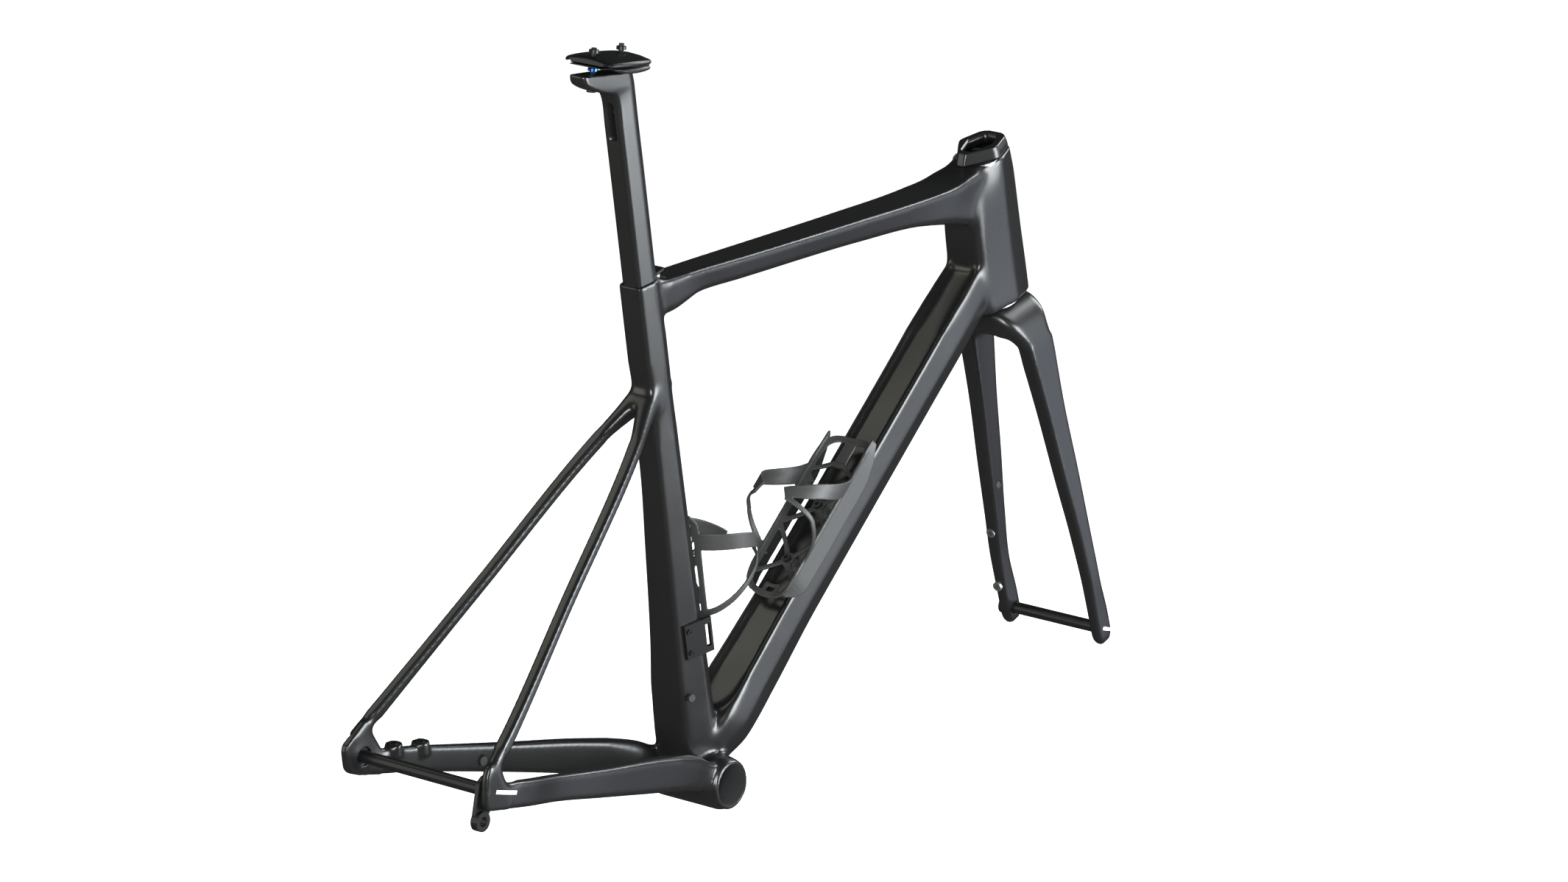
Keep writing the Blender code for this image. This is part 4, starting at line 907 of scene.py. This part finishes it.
def surface(name, colour, roughness, metallic=0.0, specular=0.5, grain=0.0, grain_scale=900.0):
    """A Principled material with fine procedural grain, and roughness and colour that vary softly."""
    made = bpy.data.materials.new(name)
    made.use_nodes = True
    tree = made.node_tree
    shader = tree.nodes["Principled BSDF"]
    shader.inputs["Metallic"].default_value = metallic
    shader.inputs["Specular IOR Level"].default_value = specular
    coordinates = node(tree, "ShaderNodeTexCoord")
    cloud = node(tree, "ShaderNodeTexNoise", Scale=14.0, Detail=4.0)
    tree.links.new(coordinates.outputs["Object"], cloud.inputs["Vector"])
    ramp = node(tree, "ShaderNodeMapRange")
    ramp.inputs["To Min"].default_value = roughness - ROUGHNESS_SPREAD
    ramp.inputs["To Max"].default_value = roughness + ROUGHNESS_SPREAD
    tree.links.new(cloud.outputs["Fac"], ramp.inputs["Value"])
    tree.links.new(ramp.outputs["Result"], shader.inputs["Roughness"])
    fine = node(tree, "ShaderNodeTexNoise", Scale=grain_scale, Detail=3.0)
    tree.links.new(coordinates.outputs["Object"], fine.inputs["Vector"])
    tint = node(tree, "ShaderNodeMix", data_type="RGBA")
    tint.inputs["A"].default_value = (*[channel * 0.75 for channel in colour], 1.0)
    tint.inputs["B"].default_value = (*[channel * 1.25 for channel in colour], 1.0)
    tree.links.new(fine.outputs["Fac"], tint.inputs["Factor"])
    tree.links.new(tint.outputs["Result"], shader.inputs["Base Color"])
    if grain > 0:
        bump = node(tree, "ShaderNodeBump", Strength=grain, Distance=GRAIN_DEPTH)
        tree.links.new(fine.outputs["Fac"], bump.inputs["Height"])
        tree.links.new(bump.outputs["Normal"], shader.inputs["Normal"])
    return made


def repaint(look, mask, colour, roughness):
    """Lays a flat colour and roughness over a material wherever the mask is 1."""
    tree = look.node_tree
    shader = tree.nodes["Principled BSDF"]
    for name, value in (("Base Color", (*colour, 1.0)), ("Roughness", roughness)):
        kind = "RGBA" if name == "Base Color" else "FLOAT"
        over = node(tree, "ShaderNodeMix", data_type=kind)
        inputs = [socket for socket in over.inputs if socket.enabled]
        outputs = [socket for socket in over.outputs if socket.enabled]
        old = shader.inputs[name].links[0].from_socket
        tree.links.new(mask, inputs[0])
        tree.links.new(old, inputs[1])
        inputs[2].default_value = value
        tree.links.new(outputs[0], shader.inputs[name])


def box_mask(look, centre, turn, halves):
    """A mask that is 1 inside a box about centre, turned about the y axis, given by its half sizes."""
    tree = look.node_tree
    coordinates = node(tree, "ShaderNodeTexCoord")
    place = node(tree, "ShaderNodeMapping", vector_type="TEXTURE")
    place.inputs["Location"].default_value = Vector(centre) * MM
    place.inputs["Rotation"].default_value = (0.0, radians(turn), 0.0)
    place.inputs["Scale"].default_value = Vector(halves) * MM
    tree.links.new(coordinates.outputs["Object"], place.inputs["Vector"])
    absolute = node(tree, "ShaderNodeVectorMath", operation="ABSOLUTE")
    tree.links.new(place.outputs["Vector"], absolute.inputs[0])
    parts = node(tree, "ShaderNodeSeparateXYZ")
    tree.links.new(absolute.outputs["Vector"], parts.inputs["Vector"])
    value = parts.outputs["X"]
    for word in ("Y", "Z"):
        most = node(tree, "ShaderNodeMath", operation="MAXIMUM")
        tree.links.new(value, most.inputs[0])
        tree.links.new(parts.outputs[word], most.inputs[1])
        value = most.outputs["Value"]
    inside = node(tree, "ShaderNodeMath", operation="LESS_THAN")
    tree.links.new(value, inside.inputs[0])
    inside.inputs[1].default_value = 1.0
    return inside.outputs["Value"]


def round_mask(look, radius, centre=(0.0, 0.0, 0.0), weights=(1.0, 0.0, 1.0)):
    """A mask that is 1 near centre: inside a cylinder along y, or a sphere with all weights 1."""
    tree = look.node_tree
    coordinates = node(tree, "ShaderNodeTexCoord")
    offset = node(tree, "ShaderNodeVectorMath", operation="SUBTRACT")
    offset.inputs[1].default_value = Vector(centre) * MM
    tree.links.new(coordinates.outputs["Object"], offset.inputs[0])
    flat = node(tree, "ShaderNodeVectorMath", operation="MULTIPLY")
    flat.inputs[1].default_value = weights
    tree.links.new(offset.outputs["Vector"], flat.inputs[0])
    length = node(tree, "ShaderNodeVectorMath", operation="LENGTH")
    tree.links.new(flat.outputs["Vector"], length.inputs[0])
    inside = node(tree, "ShaderNodeMath", operation="LESS_THAN")
    tree.links.new(length.outputs["Value"], inside.inputs[0])
    inside.inputs[1].default_value = radius * MM
    return inside.outputs["Value"]


def dress(thing, look):
    thing.data.materials.clear()
    thing.data.materials.append(look)


WHITE = (0.72, 0.73, 0.74)
# near-black painted shade, laid inside hollows of the frame skin
PAINTED_SHADE_BLACK = (0.003, 0.003, 0.003)
MARKS = (
    # middle of a white bar, its turn about the y axis in degrees, its half sizes
    ((-389.0, -84.0, 66.8), 10.7, (15.6, 2.0, 1.8)),
    ((585.8, -62.0, 68.7), 11.7, (8.8, 2.5, 1.7)),
)


def build_materials():
    """One look for each material slot of the record."""
    looks = {
        "satin_carbon": surface("satin_carbon_look", (0.0075, 0.0073, 0.0072), 0.29, grain=0.05),
        "cage_composite": surface("cage_look", (0.030, 0.030, 0.029), 0.46, specular=0.4, grain=0.35),
        "black_anodised": surface(
            "black_anodised_look", (0.020, 0.020, 0.021), 0.34, 0.7, grain=0.08, grain_scale=MACHINED_GRAIN,
        ),
        "steel": surface("steel_look", (0.66, 0.66, 0.66), 0.45, 1.0, grain=0.05, grain_scale=MACHINED_GRAIN),
        "blue_anodised": surface("blue_anodised_look", (0.02, 0.12, 0.5), 0.28, 1.0),
        "rubber_black": surface("rubber_look", (0.014, 0.014, 0.014), 0.65, grain=0.2),
    }
    carbon = looks["satin_carbon"]
    for middle, turn, halves in MARKS:
        repaint(carbon, box_mask(carbon, middle, turn, halves), WHITE, 0.5)
    # painted shade: the bore of the bottom bracket shell is painted near-black and rough, standing in for the
    # shade inside it
    repaint(carbon, round_mask(carbon, SHELL_BORE / 2 + 0.2), PAINTED_SHADE_BLACK, 0.9)
    # painted shade: the inside and rim of each cable port are painted near-black and rough, standing in for
    # the shade in the hole
    for place, _, radius in PORTS:
        repaint(carbon, round_mask(carbon, radius + 0.4, place, (1.0, 1.0, 1.0)), PAINTED_SHADE_BLACK, 0.9)
    return looks


# ---------------------------------------------------------------- camera, light and floor
VIEW_MIDDLE = Vector((150.0, 0.0, 350.0))
VIEW_TURN = (-53.504, 11.992, 4.263)             # yaw, pitch and roll in degrees
VIEW_DISTANCE = 6639.9
VIEW_SHIFT = (33.17, 43.51)                      # left and down in the camera's plane
LENS = 160.0


def build_camera():
    """The viewpoint: behind the right side, a little above the bottom bracket, with a long lens."""
    yaw, pitch, roll = (radians(angle) for angle in VIEW_TURN)
    back = Vector((sin(yaw) * cos(pitch), -cos(yaw) * cos(pitch), sin(pitch)))
    level = Vector((cos(yaw), sin(yaw), 0.0))
    rise = back.cross(level)
    right = level * cos(roll) + rise * sin(roll)
    above = rise * cos(roll) - level * sin(roll)
    place = VIEW_MIDDLE + back * VIEW_DISTANCE - right * VIEW_SHIFT[0] - above * VIEW_SHIFT[1]
    data = bpy.data.cameras.new("camera")
    data.sensor_width = 36.0
    data.lens = LENS
    data.clip_end = 100.0
    camera = bpy.data.objects.new("camera", data)
    turn = Matrix((right, above, back)).transposed().to_4x4()
    camera.matrix_world = Matrix.Translation(place * MM) @ turn
    bpy.context.collection.objects.link(camera)
    bpy.context.scene.camera = camera


def area_light(name, place, aim, size, power, colour):
    data = bpy.data.lights.new(name, "AREA")
    data.shape = "RECTANGLE"
    data.size, data.size_y = size
    data.energy = power
    data.color = colour
    lamp = bpy.data.objects.new(name, data)
    lamp.location = place
    lamp.rotation_mode = "QUATERNION"
    lamp.rotation_quaternion = (Vector(place) - Vector(aim)).to_track_quat("Z", "Y")
    bpy.context.collection.objects.link(lamp)


LIGHT_AIM = (0.08, 0.0, 0.35)
LIGHTS = (
    # name, place, width and height (all m), power (W), colour
    ("side_box", (1.3, -3.0, 0.75), (1.6, 1.9), 200, (0.92, 0.97, 1.0)),
    ("navy_box", (2.6, -1.8, 0.2), (0.8, 2.0), 9, (0.75, 0.82, 1.0)),
    ("rear_box", (-2.4, 1.9, 0.5), (1.4, 2.4), 24, (1.0, 1.0, 0.88)),
    ("camera_strip", (-3.2, -2.4, 1.1), (0.30, 2.4), 190, (0.94, 0.98, 1.0)),
    ("top_left_box", (-0.9, 2.0, 2.6), (1.2, 1.2), 8, (1.0, 1.0, 0.88)),
    ("front_top_strip", (2.4, -0.7, 2.0), (0.6, 1.8), 60, (0.94, 0.98, 1.0)),
)
FLOOR_REACH = 30.0                # m
FLOOR_HEIGHT = -0.272             # m, where the tyres would stand
DIM_WORLD = 0.045                 # what the world gives to everything but the camera


def build_stage():
    """The lights, a white floor and a world that is white to the camera only."""
    for name, place, size, power, colour in LIGHTS:
        area_light(name, place, LIGHT_AIM, size, power, colour)
    floor = bpy.data.meshes.new("floor")
    corners = [(x * FLOOR_REACH, y * FLOOR_REACH) for x, y in ((-1, -1), (1, -1), (1, 1), (-1, 1))]
    floor.from_pydata([(x, y, FLOOR_HEIGHT) for x, y in corners], [], [(0, 1, 2, 3)])
    ground = bpy.data.objects.new("floor", floor)
    bpy.context.collection.objects.link(ground)
    look = bpy.data.materials.new("floor_look")
    look.use_nodes = True
    shader = look.node_tree.nodes["Principled BSDF"]
    shader.inputs["Base Color"].default_value = (0.9, 0.9, 0.9, 1.0)
    shader.inputs["Roughness"].default_value = 0.9
    shader.inputs["Emission Color"].default_value = (1.0, 1.0, 1.0, 1.0)
    shader.inputs["Emission Strength"].default_value = 1.0
    floor.materials.append(look)
    ground.visible_glossy = False
    world = bpy.data.worlds.new("studio")
    bpy.context.scene.world = world
    world.use_nodes = True
    tree = world.node_tree
    background = tree.nodes["Background"]
    background.inputs["Color"].default_value = (1.0, 1.0, 1.0, 1.0)
    background.inputs["Strength"].default_value = 1.0
    dim = tree.nodes.new("ShaderNodeBackground")
    dim.inputs["Color"].default_value = (0.96, 0.98, 1.0, 1.0)
    dim.inputs["Strength"].default_value = DIM_WORLD
    rays = tree.nodes.new("ShaderNodeLightPath")
    mix = tree.nodes.new("ShaderNodeMixShader")
    tree.links.new(rays.outputs["Is Camera Ray"], mix.inputs[0])
    tree.links.new(dim.outputs[0], mix.inputs[1])
    tree.links.new(background.outputs[0], mix.inputs[2])
    tree.links.new(mix.outputs[0], tree.nodes["World Output"].inputs["Surface"])
    bpy.context.scene.view_settings.view_transform = "Standard"


# ---------------------------------------------------------------- assembly
looks = build_materials()
slots = {row["node"]: row["material_slot"] for row in frame["record"]["subparts"]}
for name, piece in frame["nodes"].items():
    dress(piece, looks[slots[name]])
for name in ("saddle_clamp_bolt_rear", "hanger_bolt"):    # blackened steel
    dress(frame["nodes"][name], looks["black_anodised"])

frame_skin = build_frame_skin()
dress(frame_skin, looks["satin_carbon"])
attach(frame_skin, "frame")
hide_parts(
    "seat_tube", "down_tube", "top_tube", "head_tube", "bottom_bracket_shell", "chainstay_left",
    "chainstay_right", "seatstay_left", "seatstay_right", "seatstay_yoke", "dropout_left", "dropout_right",
)
fork_skin = build_fork_skin()
dress(fork_skin, looks["satin_carbon"])
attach(fork_skin, "fork")
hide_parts("fork_crown", "fork_leg_left", "fork_leg_right")

for name, cage_skin in (("down_tube_cage", build_down_cage()), ("seat_tube_cage", build_seat_cage())):
    dress(cage_skin, looks["cage_composite"])
    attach(cage_skin, "frame")
    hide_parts(name)

roof, bed = build_clamp()
for skin, node_name, body, look in (
    (build_cover(), "headset_cover", "frame", "satin_carbon"),
    (build_post(), "seatpost", "seatpost", "satin_carbon"),
    (roof, "saddle_clamp_upper", "saddle_clamp", "black_anodised"),
    (bed, "saddle_clamp_lower", "saddle_clamp", "black_anodised"),
):
    dress(skin, looks[look])
    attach(skin, body)
    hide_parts(node_name)

build_camera()
build_stage()
